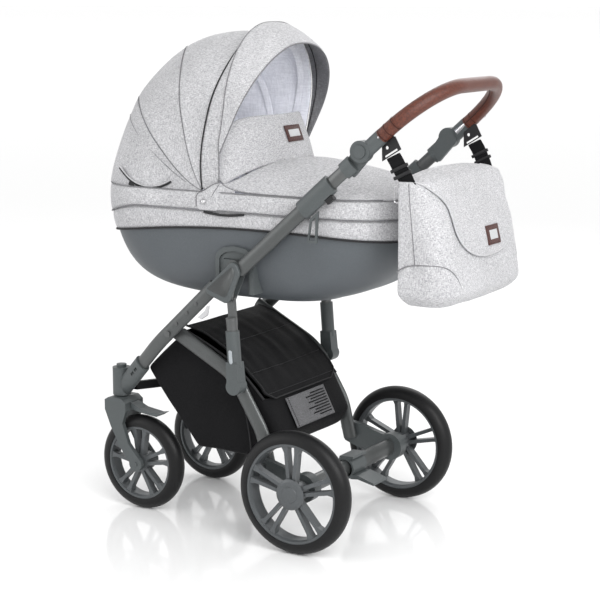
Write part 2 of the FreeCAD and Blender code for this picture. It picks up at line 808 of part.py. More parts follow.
def make_tilt_housings():
    """The fixed halves of the tilt joints, on the inner tubes' ends."""
    items = []
    gap = 2 * (float(size.tube_wall) + float(size.slide_gap))
    wide, thick = float(size.tube_wide) - gap, float(size.tube_thick) - gap
    for name, side in SIDES.items():
        y = side * float(size.handle_y)
        sleeve = oval_bar(handle_wire(104, 126, y), 42, 22.4)
        hole = oval_bar(handle_wire(90, 118.1, y), wide + 0.1, thick + 0.1)
        disc = side_rod(side, size.tilt_x, size.tilt_z, size.disc_d / 2, 212.6, 223.2)
        web = side_prism(side, [(118, 908), (128, 900), (165, 942), (135, 975), (108, 934)],
                         212.6, 223.2)
        clear = side_rod(side, size.tilt_x, size.tilt_z, size.disc_d / 2 + 1, 223.2, 240)
        shape = sleeve.fuse([disc, web]).cut([hole, clear])
        items.append(solid("tilt_housing_" + name, shape, keep=False))
    return group("tilt_housings", items)


def make_grip_sockets():
    """The turning halves of the tilt joints, which hold the grip's ends."""
    items = []
    for name, side in SIDES.items():
        disc = side_rod(side, size.tilt_x, size.tilt_z, size.disc_d / 2, 223.8, 235.5)
        recess = side_rod(side, size.tilt_x, size.tilt_z, 15.3, 227, 240)
        start = on_handle(163, side * 221.5)
        end = on_handle(198, side * float(size.grip_y))
        neck = oval_bar(Part.Wire(Part.LineSegment(start, end).toShape()), 36, 28)
        clear = side_rod(side, size.tilt_x, size.tilt_z, size.disc_d / 2 + 1, 200, 223.8)
        bar = grip_solid(14.1)
        shape = disc.fuse(neck).cut(clear).cut(recess).cut(bar)
        items.append(solid("grip_socket_" + name, max(shape.Solids, key=lambda s: s.Volume),
                           keep=False))
    return group("grip_sockets", items)


def make_tilt_button(label, side):
    """A round button that frees a tilt joint."""
    body = new_body(label, size.tilt_x, 0, size.tilt_z)
    sketch = new_sketch(body, "XZ_Plane", wrap(230.4) if side < 0 else wrap(-238.4))
    circle(sketch, 0, 0, 15)
    pad(body, sketch, 8)
    return body


def grip_route(first_x):
    """The grip's centre line: a U from one socket round to the other."""
    y = float(size.grip_y)
    left, right = on_handle(first_x, -y), on_handle(first_x, y)
    end = float(size.grip_end)
    far_left, far_right = on_handle(end, -y), on_handle(end, y)
    return [left, far_left, far_right, right]


def grip_solid(radius, first_x=175.0):
    """A round bar along the grip's centre line."""
    wire = route(grip_route(first_x), float(size.grip_bend))
    start = wire.Edges[0].valueAt(0)
    ahead = Vec(math.cos(HANDLE_SLOPE), 0, math.sin(HANDLE_SLOPE))
    section = Part.Wire(Part.Circle(start, ahead, radius).toShape())
    return wire.makePipeShell([section], True, True)


def make_grip():
    """The steel bar and the leather round it."""
    bar = grip_solid(14).cut(grip_solid(12.4, 174.5))
    solid("handle_bar", bar)
    leather = grip_solid(float(size.grip_d) / 2, 199.0).cut(grip_solid(14.1, 190.0))
    solid("leather_grip", leather)


def make_bag_hooks():
    """The slotted plates under the grip's ends that the bag's straps clip to."""
    items = []
    for name, side in SIDES.items():
        y = side * float(size.grip_y)
        plate = side_prism(side, [(195, 972), (196, 939), (243, 968), (228, 996), (206, 1000)],
                           210, 213)
        slot = side_prism(side, [(204, 947), (235, 966), (233, 970), (202, 951)], 209, 214)
        rivet = side_rod(side, 208, 970, 4, 209, 214)
        neck = oval_bar(Part.Wire(Part.LineSegment(on_handle(163, side * 221.5),
                                                   on_handle(198, y)).toShape()), 36.2, 28.2)
        shape = plate.cut([slot, rivet, neck, grip_solid(17.1, 190.0)])
        hook = max(shape.Solids, key=lambda piece: piece.Volume)
        items.append(solid("bag_hook_" + name, hook, keep=False))
    return group("bag_hooks", items)


for name, side in SIDES.items():
    make_handle_tube("handle_tube_" + name, side)
    make_tilt_button("tilt_button_" + name, side)
make_collars()
make_latches()
make_release_loops()
make_inner_tubes()
make_tilt_housings()
make_grip_sockets()
make_grip()
make_bag_hooks()


def make_fold_catches():
    """The small hooks under the front tubes that hold the folded frame."""
    members = []
    points = [(-306, 534), (-296, 530), (-278, 541), (-273, 566), (-279, 564), (-285, 552)]
    for name, side in SIDES.items():
        members.append(side_plate("fold_catch_" + name, side, points, 216, 6, 0, keep=False))
    return group("fold_catches", members)


make_fold_catches()


# ---------------------------------------------------------------- carrycot


def cot_loft(inset, base, lift):
    """The carrycot's bowl: rounded plans that widen upwards."""
    foot, head = float(size.cot_foot), float(size.cot_head)
    half = float(size.cot_half)
    sections = [
        (base, head + 235, foot - 236, half - 78, 110),
        (base + 20, head + 135, foot - 172, half - 44, 125),
        (base + 70, head + 53, foot - 78, half - 17, 150),
        (base + 130, head + 18, foot - 30, half - 5, 160),
        (base + 182 + lift, head, foot, half, 165),
    ]
    wires = [plan_wire(x0 + inset, x1 - inset, w - inset, r - inset, z)
             for z, x0, x1, w, r in sections]
    return Part.makeLoft(wires, True, False)


def below_rim(lift=0.0):
    """Everything under the shell's edge, which is high in the middle."""
    top = Part.Arc(Vec(-760, -300, 696 + lift), Vec(-150, -300, float(size.shell_rim) + lift),
                   Vec(300, -300, 735 + lift)).toShape()
    a, b = Vec(300, -300, 500), Vec(-760, -300, 500)
    edges = [top, Part.LineSegment(Vec(300, -300, 735 + lift), a).toShape(),
             Part.LineSegment(a, b).toShape(),
             Part.LineSegment(b, Vec(-760, -300, 696 + lift)).toShape()]
    return Part.Face(Part.Wire(edges)).extrude(Vec(0, 600, 0))


def make_shell():
    """The hard bowl of the carrycot."""
    base = float(size.shell_base)
    wall = float(size.shell_wall)
    outer = cot_loft(0, base, 0)
    inner = cot_loft(wall, base + wall, 10)
    return solid("carrycot_shell", outer.cut(inner).common(below_rim()))


ARCH = [(-262, 600), (-262, 686), (-255, 700), (-238, 710), (-207, 715), (-176, 710),
        (-160, 700), (-153, 686), (-153, 600)]
ARCH_WINDOW = [(-251, 599), (-251, 682), (-245, 691), (-232, 699), (-207, 703), (-182, 699),
               (-170, 691), (-164, 682), (-164, 599)]


def make_mount_brackets():
    """The inverted U on each side of the bowl that drops over a hub's post."""
    items = []
    for name, side in SIDES.items():
        arch = side_prism(side, ARCH, 160, 203)
        band = side_prism(side, ARCH, 202, 207.4).cut(side_prism(side, ARCH_WINDOW, 201, 209))
        post_gap = side_prism(side, [(-240, 599), (-240, 683), (-170, 683), (-170, 599)], 150, 210)
        solid_bowl = cot_loft(0, float(size.shell_base), 0)
        shape = arch.fuse(band).cut(post_gap).cut(solid_bowl)
        items.append(solid("mount_bracket_" + name, shape, keep=False))
    return group("mount_brackets", items)


def make_fabric_band():
    """The padded cloth wall above the bowl."""
    head, foot = float(size.cot_head), float(size.cot_foot)
    half = float(size.cot_half)

    def ring(inset, low, high):
        wires = [plan_wire(head - 2 + inset, foot + 1 - inset, half + 1 - inset, 165 - inset, low),
                 plan_wire(head - 5 + inset, foot + 4 - inset, half + 3 - inset, 168 - inset,
                           770),
                 plan_wire(head - 8 + inset, foot + 4 - inset, half + 3 - inset, 169 - inset,
                           high)]
        return Part.makeLoft(wires, True, False)

    outer = ring(0, 690, float(size.band_top))
    inner = ring(float(size.band_t), 685, float(size.band_top) + 5)
    return solid("carrycot_fabric", outer.cut(inner).cut(below_rim(0.1)))


def make_mattress():
    """The flat mattress on the bowl's floor."""
    wires = [plan_wire(-500, 36, 152, 110, 606), plan_wire(-508, 44, 158, 112, 630)]
    return solid("mattress", Part.makeLoft(wires, True, True))


FLAP_CENTRE = Vec(-428, 0, 800)
FLAP_R = 278.0


def arch_section(x, half, low, top):
    """A half-oval across the carrycot at one X."""
    left, right = Vec(x, -half, low), Vec(x, half, low)
    side_y, side_z = half * 0.72, low + (top - low) * 0.78
    curve = Part.BSplineCurve()
    curve.interpolate([left, Vec(x, -side_y, side_z), Vec(x, 0, top), Vec(x, side_y, side_z),
                       right])
    return Part.Wire([curve.toShape(), Part.LineSegment(right, left).toShape()])


def make_apron():
    """The cover over the foot half, arched across the carrycot."""
    low = float(size.band_top) + 0.3
    tops = [(-300, 916), (-120, 914), (0, 906), (120, 892), (190, 872), (219, 852)]
    outer = Part.makeLoft([arch_section(x, 206, low, top) for x, top in tops], True, False)
    inner = Part.makeLoft([arch_section(x - 8, 197, low - 4, top - 9) for x, top in tops],
                          True, False)
    front = Part.makeCylinder(FLAP_R + 0.3, 300, FLAP_CENTRE)
    return solid("apron", outer.cut(inner).cut(front))


def make_wind_flap():
    """The raised panel at the apron's front edge."""
    ring = Part.makeCylinder(FLAP_R, 230, FLAP_CENTRE)
    ring = ring.cut(Part.makeCylinder(FLAP_R - 8, 230, FLAP_CENTRE))
    face = Part.Face(Part.Wire([Part.Ellipse(Vec(-300, 206, 850), Vec(-300, 0, 1018),
                                             Vec(-300, 0, 850)).toShape()]))
    window = face.extrude(Vec(200, 0, 0))
    above = Part.makeBox(200, 420, 200, Vec(-245, -210, float(size.band_top) + 0.3))
    return solid("wind_flap", ring.common(window).common(above))


make_shell()
make_mount_brackets()
make_fabric_band()
make_mattress()
make_apron()
make_wind_flap()


# ---------------------------------------------------------------- hood


def hood_profile(radius, half, corner, low):
    """Half of a hood slice: a rounded corner in the plane of Y and radius, upwards."""
    bend = corner * (1 - math.sqrt(0.5))
    a, b = Vec(0, -half, low), Vec(0, -half, radius - corner)
    c, d = Vec(0, -half + corner, radius), Vec(0, half - corner, radius)
    e, f = Vec(0, half, radius - corner), Vec(0, half, low)
    left = Vec(0, -half + bend, radius - bend)
    right = Vec(0, half - bend, radius - bend)
    edges = [Part.LineSegment(a, b).toShape(), Part.Arc(b, left, c).toShape(),
             Part.LineSegment(c, d).toShape(), Part.Arc(d, right, e).toShape(),
             Part.LineSegment(e, f).toShape(), Part.LineSegment(f, a).toShape()]
    return Part.Face(Part.Wire(edges))


def hood_slice(radius, half, start, end, wall, low=30.0):
    """A slice of the hood between two angles up from the head end."""
    corner = float(size.hood_corner)
    outer = hood_profile(radius, half, corner, low)
    inner = hood_profile(radius - wall, half - wall, corner - wall, low - 12)
    face = outer.cut(inner)
    shape = face.revolve(Vec(0, 0, 0), Vec(0, 1, 0), end - start)
    shape.rotate(Vec(0, 0, 0), Vec(0, 1, 0), start - 90)
    shape.translate(Vec(float(size.hood_x), 0, float(size.hood_z)))
    return shape


def make_hood():
    """The hood's panels and bows, each lap inside or outside the next."""
    solid("hood_rear_panel", hood_slice(374, 204, 0.5, 26.6, 6))
    solid("hood_mid_panel", hood_slice(358, 188.5, 26.8, 59.0, 6))
    solid("hood_mid_bow", hood_slice(358, 188.5, 59.2, 60.8, 10))
    solid("hood_front_panel", hood_slice(366, 196.3, 61.0, 91.2, 6))
    solid("hood_main_bow", hood_slice(404, 202, 91.4, 93.4, 42))
    solid("hood_visor", hood_slice(404, 202, 93.6, 114.5, 6, 125))


make_hood()


# ---------------------------------------------------------------- bag


def make_bag():
    """A cloth bag, open at the top under its flap."""
    back, base, top = size.bag_back, size.bag_base, size.bag_top
    outer = [(back, base), (back, top), (back + 71, top), (back + 101, top - 66),
             (back + 128, top - 192), (back + 136, base + 40), (back + 120, base)]
    body = cross_block("bag", outer, size.bag_half * 2, 10)
    inside = new_sketch(body, "XZ_Plane")
    outline(inside, [(back + 5, base + 5), (back + 5, top + 20), (back + 66, top + 20),
                     (back + 66, top - 5), (back + 96, top - 68), (back + 123, top - 193),
                     (back + 131, base + 41), (back + 116, base + 5)])
    hollow = pocket(body, inside, (size.bag_half - size.bag_wall) * 2)
    hollow.SideType = "Symmetric"
    doc.recompute()
    return body


def make_bag_straps():
    """The webbing that joins the bag to the hooks."""
    items = []
    for name, side in SIDES.items():
        points = [(204, 941), (241, 964), (263, 930), (291, 893), (281, 884), (243, 884),
                  (227, 914)]
        items.append(side_plate("strap_" + name, side, points, 213.6, 2.2, 0, keep=False))
    return group("bag_straps", items)


make_bag()
cross_block("bag_flap", [(238, 896), (238, 900), (311, 900), (342, 830), (367.5, 712),
                         (363.8, 711), (338.3, 829), (308.4, 896)], 380, 0)
make_bag_straps()


# ---------------------------------------------------------------- check and write

doc.recompute()
for item in doc.Objects:
    if any(word in item.State for word in ("Invalid", "Error")):
        raise RuntimeError("failed: %s %s" % (item.Name, item.State))
os.makedirs("parts", exist_ok=True)
whole = FreeCAD.BoundBox()
for item in sub_parts:
    shape = item.Shape
    if shape.isNull() or not shape.isValid() or not shape.Solids:
        raise RuntimeError("bad shape: " + item.Label)
    whole.add(shape.BoundBox)
    shape.exportStep("parts/%s.step" % item.Label)
print(len(sub_parts), "sub-parts,", whole)
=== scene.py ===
"""The looks of a baby stroller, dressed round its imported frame.

Metres in the row frame: +Z is up and -X is the front.  Sizes inside the classes are in
millimetres from the rear axle (X), the middle plane (Y) and the ground (Z).
"""
import json
import logging
import math
from dataclasses import dataclass
from enum import Enum
from typing import Callable, Sequence

import bmesh
import bpy
from mathutils import Matrix, Vector, noise


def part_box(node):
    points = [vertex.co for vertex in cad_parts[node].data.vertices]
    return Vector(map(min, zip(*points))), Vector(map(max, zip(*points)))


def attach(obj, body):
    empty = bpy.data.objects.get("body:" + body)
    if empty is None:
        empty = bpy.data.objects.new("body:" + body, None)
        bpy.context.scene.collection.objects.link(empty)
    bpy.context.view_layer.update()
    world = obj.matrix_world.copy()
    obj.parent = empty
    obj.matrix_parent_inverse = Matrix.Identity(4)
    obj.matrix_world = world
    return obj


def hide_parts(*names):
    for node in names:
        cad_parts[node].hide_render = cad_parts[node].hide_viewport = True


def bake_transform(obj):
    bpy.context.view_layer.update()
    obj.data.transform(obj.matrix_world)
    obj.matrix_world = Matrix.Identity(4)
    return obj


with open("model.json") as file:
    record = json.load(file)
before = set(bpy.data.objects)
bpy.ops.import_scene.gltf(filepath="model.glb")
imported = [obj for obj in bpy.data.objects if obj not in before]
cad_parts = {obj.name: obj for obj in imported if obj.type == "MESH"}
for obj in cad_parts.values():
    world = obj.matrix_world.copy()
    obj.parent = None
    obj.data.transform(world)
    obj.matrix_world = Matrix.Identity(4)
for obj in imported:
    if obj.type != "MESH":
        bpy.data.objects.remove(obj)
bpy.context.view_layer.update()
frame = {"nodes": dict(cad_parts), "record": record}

LOG = logging.getLogger("stroller")
MM = 0.001
SIDES = {"left": -1, "right": 1}
AXLE_LOW, AXLE_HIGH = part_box("rear_axle")
AXLE_X = (AXLE_LOW.x + AXLE_HIGH.x) / 2

Colour = tuple[float, float, float]
Place = Callable[[float, float], Vector]


def at(x: float, y: float, z: float) -> Vector:
    """A point in millimetres from the rear axle's foot, in metres."""
    return Vector((AXLE_X + x * MM, y * MM, z * MM))


def mix(low: float, high: float, part: float) -> float:
    """The value part of the way from low to high."""
    return low + (high - low) * part


def ramp(value: float, low: float, high: float) -> float:
    """Zero below low, one above high, and smooth between them."""
    part = min(1.0, max(0.0, (value - low) / (high - low)))
    return part * part * (3 - 2 * part)


# ---------------------------------------------------------------- finishes


class Graph:
    """A node tree with short calls that add and join nodes."""

    def __init__(self, tree: bpy.types.NodeTree) -> None:
        """Start from an empty tree."""
        self.tree = tree
        tree.nodes.clear()

    def add(self, kind: str, **values: object) -> bpy.types.Node:
        """Add a node.

        Args:
            kind: The node's type.
            values: Properties of the node, or values of its sockets by name with
                underscores for spaces.

        Returns:
            The new node.
        """
        node = self.tree.nodes.new(kind)
        for name, value in values.items():
            if hasattr(node, name):
                setattr(node, name, value)
            else:
                node.inputs[name.replace("_", " ")].default_value = value
        return node

    def join(self, source: bpy.types.NodeSocket, target: bpy.types.NodeSocket) -> None:
        """Join two sockets."""
        self.tree.links.new(source, target)

    def noise(self, vector: bpy.types.NodeSocket, stretch: Sequence[float],
              detail: float = 2.0) -> bpy.types.NodeSocket:
        """Noise on stretched coordinates.

        Args:
            vector: The coordinates.
            stretch: How often the noise repeats per metre along X, Y and Z.
            detail: The noise's octaves.

        Returns:
            The noise's value.
        """
        scale = self.add("ShaderNodeVectorMath", operation="MULTIPLY")
        scale.inputs[1].default_value = stretch
        self.join(vector, scale.inputs[0])
        texture = self.add("ShaderNodeTexNoise", Scale=1.0, Detail=detail, Roughness=0.6)
        self.join(scale.outputs[0], texture.inputs["Vector"])
        return texture.outputs[0]

    def math(self, operation: str, *values: object) -> bpy.types.NodeSocket:
        """A math node.

        Args:
            operation: The node's operation.
            values: Sockets or plain numbers.

        Returns:
            The result.
        """
        node = self.add("ShaderNodeMath", operation=operation)
        for socket, value in zip(node.inputs, values):
            if isinstance(value, (int, float)):
                socket.default_value = value
            else:
                self.join(value, socket)
        return node.outputs[0]

    def spread(self, value: bpy.types.NodeSocket, low: float, high: float,
               to_low: float = 0.0, to_high: float = 1.0) -> bpy.types.NodeSocket:
        """A clamped map of one range onto another.

        Args:
            value: The value to map.
            low: The start of its range.
            high: The end of its range.
            to_low: What low becomes.
            to_high: What high becomes.

        Returns:
            The mapped value.
        """
        node = self.add("ShaderNodeMapRange")
        self.join(value, node.inputs["Value"])
        for name, number in (("From Min", low), ("From Max", high),
                             ("To Min", to_low), ("To Max", to_high)):
            node.inputs[name].default_value = number
        return node.outputs[0]


def new_group(name: str, outputs: Sequence[str]) -> Graph:
    """A shader node group with one Scale input.

    Args:
        name: The group's name.
        outputs: Its output sockets, all numbers.

    Returns:
        The group's graph.
    """
    tree = bpy.data.node_groups.new(name, "ShaderNodeTree")
    tree.interface.new_socket("Scale", in_out="INPUT", socket_type="NodeSocketFloat")
    for output in outputs:
        tree.interface.new_socket(output, in_out="OUTPUT", socket_type="NodeSocketFloat")
    return Graph(tree)


def scaled_object_coordinates(graph: Graph) -> bpy.types.NodeSocket:
    """Object coordinates times the group's Scale."""
    source = graph.add("NodeGroupInput")
    place = graph.add("ShaderNodeTexCoord")
    scale = graph.add("ShaderNodeVectorMath", operation="SCALE")
    graph.join(place.outputs["Object"], scale.inputs[0])
    graph.join(source.outputs["Scale"], scale.inputs["Scale"])
    return scale.outputs[0]


def weave_group() -> bpy.types.NodeTree:
    """Slubby crossing threads: Mask tells light from dark thread, Height is their relief."""
    graph = new_group("crossing_threads", ("Mask", "Height", "Cloud"))
    place = scaled_object_coordinates(graph)
    weft = graph.noise(place, (1.0, 1.0, 7.0), 3.0)
    warp = graph.noise(place, (6.0, 6.0, 0.9), 3.0)
    fuzz = graph.noise(place, (16.0, 16.0, 16.0), 1.0)
    threads = graph.math("ADD", weft, warp)
    both = graph.math("MULTIPLY_ADD", fuzz, 0.5, threads)
    cloud = graph.noise(place, (0.06, 0.06, 0.06), 2.0)
    out = graph.add("NodeGroupOutput")
    graph.join(graph.spread(both, 1.08, 1.46), out.inputs["Mask"])
    graph.join(both, out.inputs["Height"])
    graph.join(cloud, out.inputs["Cloud"])
    return graph.tree


def grain_group() -> bpy.types.NodeTree:
    """The fine pebbling of moulded or painted skins, with a slow cloud."""
    graph = new_group("fine_grain", ("Mask", "Height", "Cloud"))
    place = scaled_object_coordinates(graph)
    fine = graph.noise(place, (1.0, 1.0, 1.0), 2.0)
    cloud = graph.noise(place, (0.012, 0.012, 0.012), 3.0)
    out = graph.add("NodeGroupOutput")
    graph.join(graph.spread(fine, 0.35, 0.65), out.inputs["Mask"])
    graph.join(fine, out.inputs["Height"])
    graph.join(cloud, out.inputs["Cloud"])
    return graph.tree


WEAVE = weave_group()
GRAIN = grain_group()


@dataclass(frozen=True)
class Finish:
    """What every finish shares."""

    name: str
    dark: Colour
    light: Colour
    roughness: float = 0.6
    relief: float = 0.2
    specular: float = 0.4

    def start(self, group: bpy.types.NodeTree, scale: float,
              rough_change: float) -> tuple[Graph, bpy.types.Node, bpy.types.Material]:
        """Make the material with its two-tone colour, roughness and bump.

        Args:
            group: The effect's node group.
            scale: The group's Scale.
            rough_change: How much the slow cloud changes the roughness.

        Returns:
            The graph, its Principled BSDF and the material.
        """
        material = bpy.data.materials.new(self.name)
        material.use_nodes = True
        graph = Graph(material.node_tree)
        shader = graph.add("ShaderNodeBsdfPrincipled")
        out = graph.add("ShaderNodeOutputMaterial")
        graph.join(shader.outputs[0], out.inputs["Surface"])
        effect = graph.add("ShaderNodeGroup")
        effect.node_tree = group
        effect.inputs["Scale"].default_value = scale
        tone = graph.add("ShaderNodeMix", data_type="RGBA")
        colours = [socket for socket in tone.inputs if socket.type == "RGBA"]
        colours[0].default_value = (*self.dark, 1.0)
        colours[1].default_value = (*self.light, 1.0)
        graph.join(effect.outputs["Mask"], tone.inputs[0])
        tint = graph.add("ShaderNodeHueSaturation")
        graph.join([o for o in tone.outputs if o.type == "RGBA"][0], tint.inputs["Color"])
        graph.join(graph.spread(effect.outputs["Cloud"], 0.3, 0.7, 0.94, 1.06),
                   tint.inputs["Value"])
        graph.join(tint.outputs[0], shader.inputs["Base Color"])
        rough = graph.spread(effect.outputs["Cloud"], 0.3, 0.7,
                             self.roughness - rough_change, self.roughness + rough_change)
        graph.join(rough, shader.inputs["Roughness"])
        bump = graph.add("ShaderNodeBump", Strength=self.relief, Distance=0.0008)
        graph.join(effect.outputs["Height"], bump.inputs["Height"])
        graph.join(bump.outputs[0], shader.inputs["Normal"])
        shader.inputs["Specular IOR Level"].default_value = self.specular
        return graph, shader, material


@dataclass(frozen=True)
class Cloth(Finish):
    """Woven cloth."""

    pitch: float = 75.0
    sheen: float = 0.2

    def material(self) -> bpy.types.Material:
        """The cloth's material."""
        _, shader, material = self.start(WEAVE, self.pitch, 0.03)
        shader.inputs["Sheen Weight"].default_value = self.sheen
        shader.inputs["Sheen Roughness"].default_value = 0.5
        return material


@dataclass(frozen=True)
class Skin(Finish):
    """Moulded, painted or polished parts."""

    grain: float = 900.0
    metallic: float = 0.0
    coat: float = 0.0

    def material(self) -> bpy.types.Material:
        """The skin's material."""
        _, shader, material = self.start(GRAIN, self.grain, 0.05)
        shader.inputs["Metallic"].default_value = self.metallic
        shader.inputs["Coat Weight"].default_value = self.coat
        shader.inputs["Coat Roughness"].default_value = 0.25
        return material


@dataclass(frozen=True)
class Leather(Finish):
    """Grained leather with creases."""

    cells: float = 700.0

    def material(self) -> bpy.types.Material:
        """The leather's material."""
        graph, shader, material = self.start(GRAIN, 260.0, 0.06)
        place = graph.add("ShaderNodeTexCoord")
        creases = graph.add("ShaderNodeTexVoronoi", feature="DISTANCE_TO_EDGE",
                            Scale=self.cells)
        graph.join(place.outputs["Object"], creases.inputs["Vector"])
        bump = graph.add("ShaderNodeBump", Strength=0.35, Distance=0.0006)
        graph.join(graph.spread(creases.outputs[0], 0.0, 0.25), bump.inputs["Height"])
        graph.join(bump.outputs[0], shader.inputs["Normal"])
        shader.inputs["Coat Weight"].default_value = 0.12
        shader.inputs["Coat Roughness"].default_value = 0.35
        return material


class Slot(Enum):
    """The record's material slots and their finishes."""

    FRAME = Skin("frame", (0.062, 0.066, 0.066), (0.092, 0.097, 0.097), 0.36, 0.05, 0.4,
                 1400.0, 0.5, 0.15)
    INNER_TUBE = Skin("inner_tube", (0.09, 0.093, 0.093), (0.13, 0.134, 0.134), 0.33, 0.04,
                      0.4, 1400.0, 0.7)
    CASTING = Skin("casting", (0.058, 0.066, 0.068), (0.088, 0.098, 0.10), 0.45, 0.14, 0.4,
                   1100.0, 0.15)
    RIM = Skin("rim", (0.068, 0.074, 0.078), (0.10, 0.107, 0.112), 0.4, 0.12, 0.4, 900.0,
               0.3)
    TYRE = Skin("tyre", (0.0045, 0.0045, 0.005), (0.010, 0.010, 0.0105), 0.42, 0.25, 0.22,
                700.0)
    STEEL = Skin("steel", (0.5, 0.5, 0.51), (0.64, 0.64, 0.65), 0.22, 0.04, 0.4, 1500.0,
                 1.0)
    BLACK_PLASTIC = Skin("black_plastic", (0.007, 0.007, 0.008), (0.015, 0.015, 0.016),
                         0.42, 0.2, 0.3, 1000.0)
    BLACK_CLOTH = Cloth("black_cloth", (0.003, 0.003, 0.0035), (0.010, 0.010, 0.011), 0.75,
                        0.5, 0.1, 260.0, 0.02)
    SHELL = Skin("shell", (0.066, 0.074, 0.082), (0.086, 0.096, 0.105), 0.5, 0.25, 0.4,
                 700.0)
    GREY_CLOTH = Cloth("grey_cloth", (0.26, 0.26, 0.272), (0.60, 0.598, 0.61), 0.9, 0.45,
                       0.2, 150.0, 0.15)
    PIPING = Cloth("piping", (0.016, 0.016, 0.017), (0.035, 0.035, 0.037), 0.8, 0.3, 0.15,
                   300.0, 0.05)
    LINING = Cloth("lining", (0.72, 0.73, 0.79), (0.86, 0.87, 0.93), 0.5, 0.15, 0.25, 40.0,
                   0.15)
    LEATHER = Leather("leather", (0.055, 0.012, 0.006), (0.115, 0.029, 0.014), 0.38, 0.3,
                      0.35)


class Trim(Enum):
    """Finishes of small pieces that share a slot with a larger one."""

    # Painted shade: the seam finish is a darker copy of the grey cloth. It stands in for the
    # shade in seam grooves, creases, darts and along some hems.
    PAINTED_SEAM_SHADE = Cloth("painted_seam_shade", (0.13, 0.13, 0.136), (0.24, 0.24, 0.25), 0.9, 0.3, 0.2,
                 300.0, 0.1)
    HEM = Cloth("hem", (0.34, 0.34, 0.352), (0.55, 0.55, 0.56), 0.85, 0.3, 0.2, 250.0, 0.1)
    # Painted shade: a darker copy of the lining for the visor's underside, standing in for the
    # shade under the visor.
    SHADED_LINING = Cloth("painted_shade_lining", (0.13, 0.13, 0.136), (0.22, 0.22, 0.23), 0.6, 0.4,
                        0.2, 80.0, 0.15)
    THREAD = Cloth("black_thread", (0.025, 0.025, 0.027), (0.05, 0.05, 0.053), 0.7, 0.3,
                   0.2, 400.0, 0.1)
    LEATHER_THREAD = Cloth("leather_thread", (0.02, 0.006, 0.004), (0.045, 0.013, 0.008),
                           0.6, 0.3, 0.2, 400.0, 0.05)
    PATCH = Cloth("net_patch", (0.012, 0.012, 0.013), (0.24, 0.24, 0.25), 0.8, 0.5, 0.2,
                  420.0, 0.05)
    BADGE = Leather("badge_leather", (0.035, 0.009, 0.007), (0.07, 0.018, 0.013), 0.45, 0.3,
                    0.4)
    PLATE = Skin("badge_plate", (0.5, 0.51, 0.52), (0.64, 0.65, 0.66), 0.3, 0.05, 0.4,
                 900.0, 0.6)
    FOIL = Skin("blank_sticker", (0.3, 0.33, 0.35), (0.42, 0.45, 0.47), 0.35, 0.05, 0.4,
                900.0, 0.4)


class Palette:
    """Builds each finish's material once."""

    def __init__(self) -> None:
        """Start with no materials."""
        self.made: dict[str, bpy.types.Material] = {}

    def get(self, finish: Enum) -> bpy.types.Material:
        """The material of a finish."""
        name = finish.value.name
        if name not in self.made:
            self.made[name] = finish.value.material()
        return self.made[name]


PALETTE = Palette()


# ---------------------------------------------------------------- piece helpers


def grid(cols: int, rows: int, place: Place, inside: Vector | None = None,
         ripple: float = 0.0) -> bmesh.types.BMesh:
    """A sheet bent out of a flat grid.

    Args:
        cols: Cells along the first way.
        rows: Cells along the second way.
        place: Gives the point for two shares from 0 to 1.
        inside: A point that the faces look away from.
        ripple: Height of soft ripples, in millimetres.

    Returns:
        The mesh, with the shares kept as its UV map.
    """
    bm = bmesh.new()
    bmesh.ops.create_grid(bm, x_segments=cols, y_segments=rows, size=1.0)
    layer = bm.loops.layers.uv.new("cloth")
    for vert in bm.verts:
        u, v = (vert.co.x + 1) / 2, (vert.co.y + 1) / 2
        for loop in vert.link_loops:
            loop[layer].uv = (u, v)
        vert.co = place(u, v)
    bmesh.ops.remove_doubles(bm, verts=bm.verts, dist=1e-5)
    bm.normal_update()
    if inside is not None:
        outward = sum(f.normal.dot(f.calc_center_median() - inside) for f in bm.faces)
        if outward < 0:
            bmesh.ops.reverse_faces(bm, faces=bm.faces)
    if ripple:
        bm.normal_update()
        for vert in bm.verts:
            wave = noise.noise(vert.co * 11.0) + 0.5 * noise.noise(vert.co * 27.0)
            vert.co += vert.normal * (wave * ripple * MM)
    return bm


def settle(name: str, bm: bmesh.types.BMesh, finishes: Sequence[Enum], slot: Slot,
           body: str = "", wall: float = 0.0, rounds: int = 1,
           rim: int = 0) -> bpy.types.Object:
    """Turn a mesh into a finished piece.

    Args:
        name: The piece's name.
        bm: Its mesh, freed here.
        finishes: Its finish, and the finish of its inner face if it differs.
        slot: The record's slot that it belongs to; not used.
        body: The body that it rides on, or nothing where it blends.
        wall: Thickness in millimetres grown inwards, or 0.
        rounds: Levels of subdivision.
        rim: Which finish the edge of the wall has.

    Returns:
        The piece's object.
    """
    mesh = bpy.data.meshes.new(name)
    bm.to_mesh(mesh)
    bm.free()
    for polygon in mesh.polygons:
        polygon.use_smooth = True
    for finish in finishes:
        mesh.materials.append(PALETTE.get(finish))
    obj = bpy.data.objects.new(name, mesh)
    bpy.context.scene.collection.objects.link(obj)
    if wall:
        thick = obj.modifiers.new("wall", "SOLIDIFY")
        thick.thickness = wall * MM
        thick.offset = -1
        thick.use_even_offset = False
        thick.material_offset = len(finishes) - 1
        thick.material_offset_rim = rim
    if rounds:
        soft = obj.modifiers.new("soft", "SUBSURF")
        soft.levels = rounds
        soft.render_levels = rounds
    if body:
        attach(obj, body)
    LOG.info("%s: %d faces", name, len(mesh.polygons))
    return obj


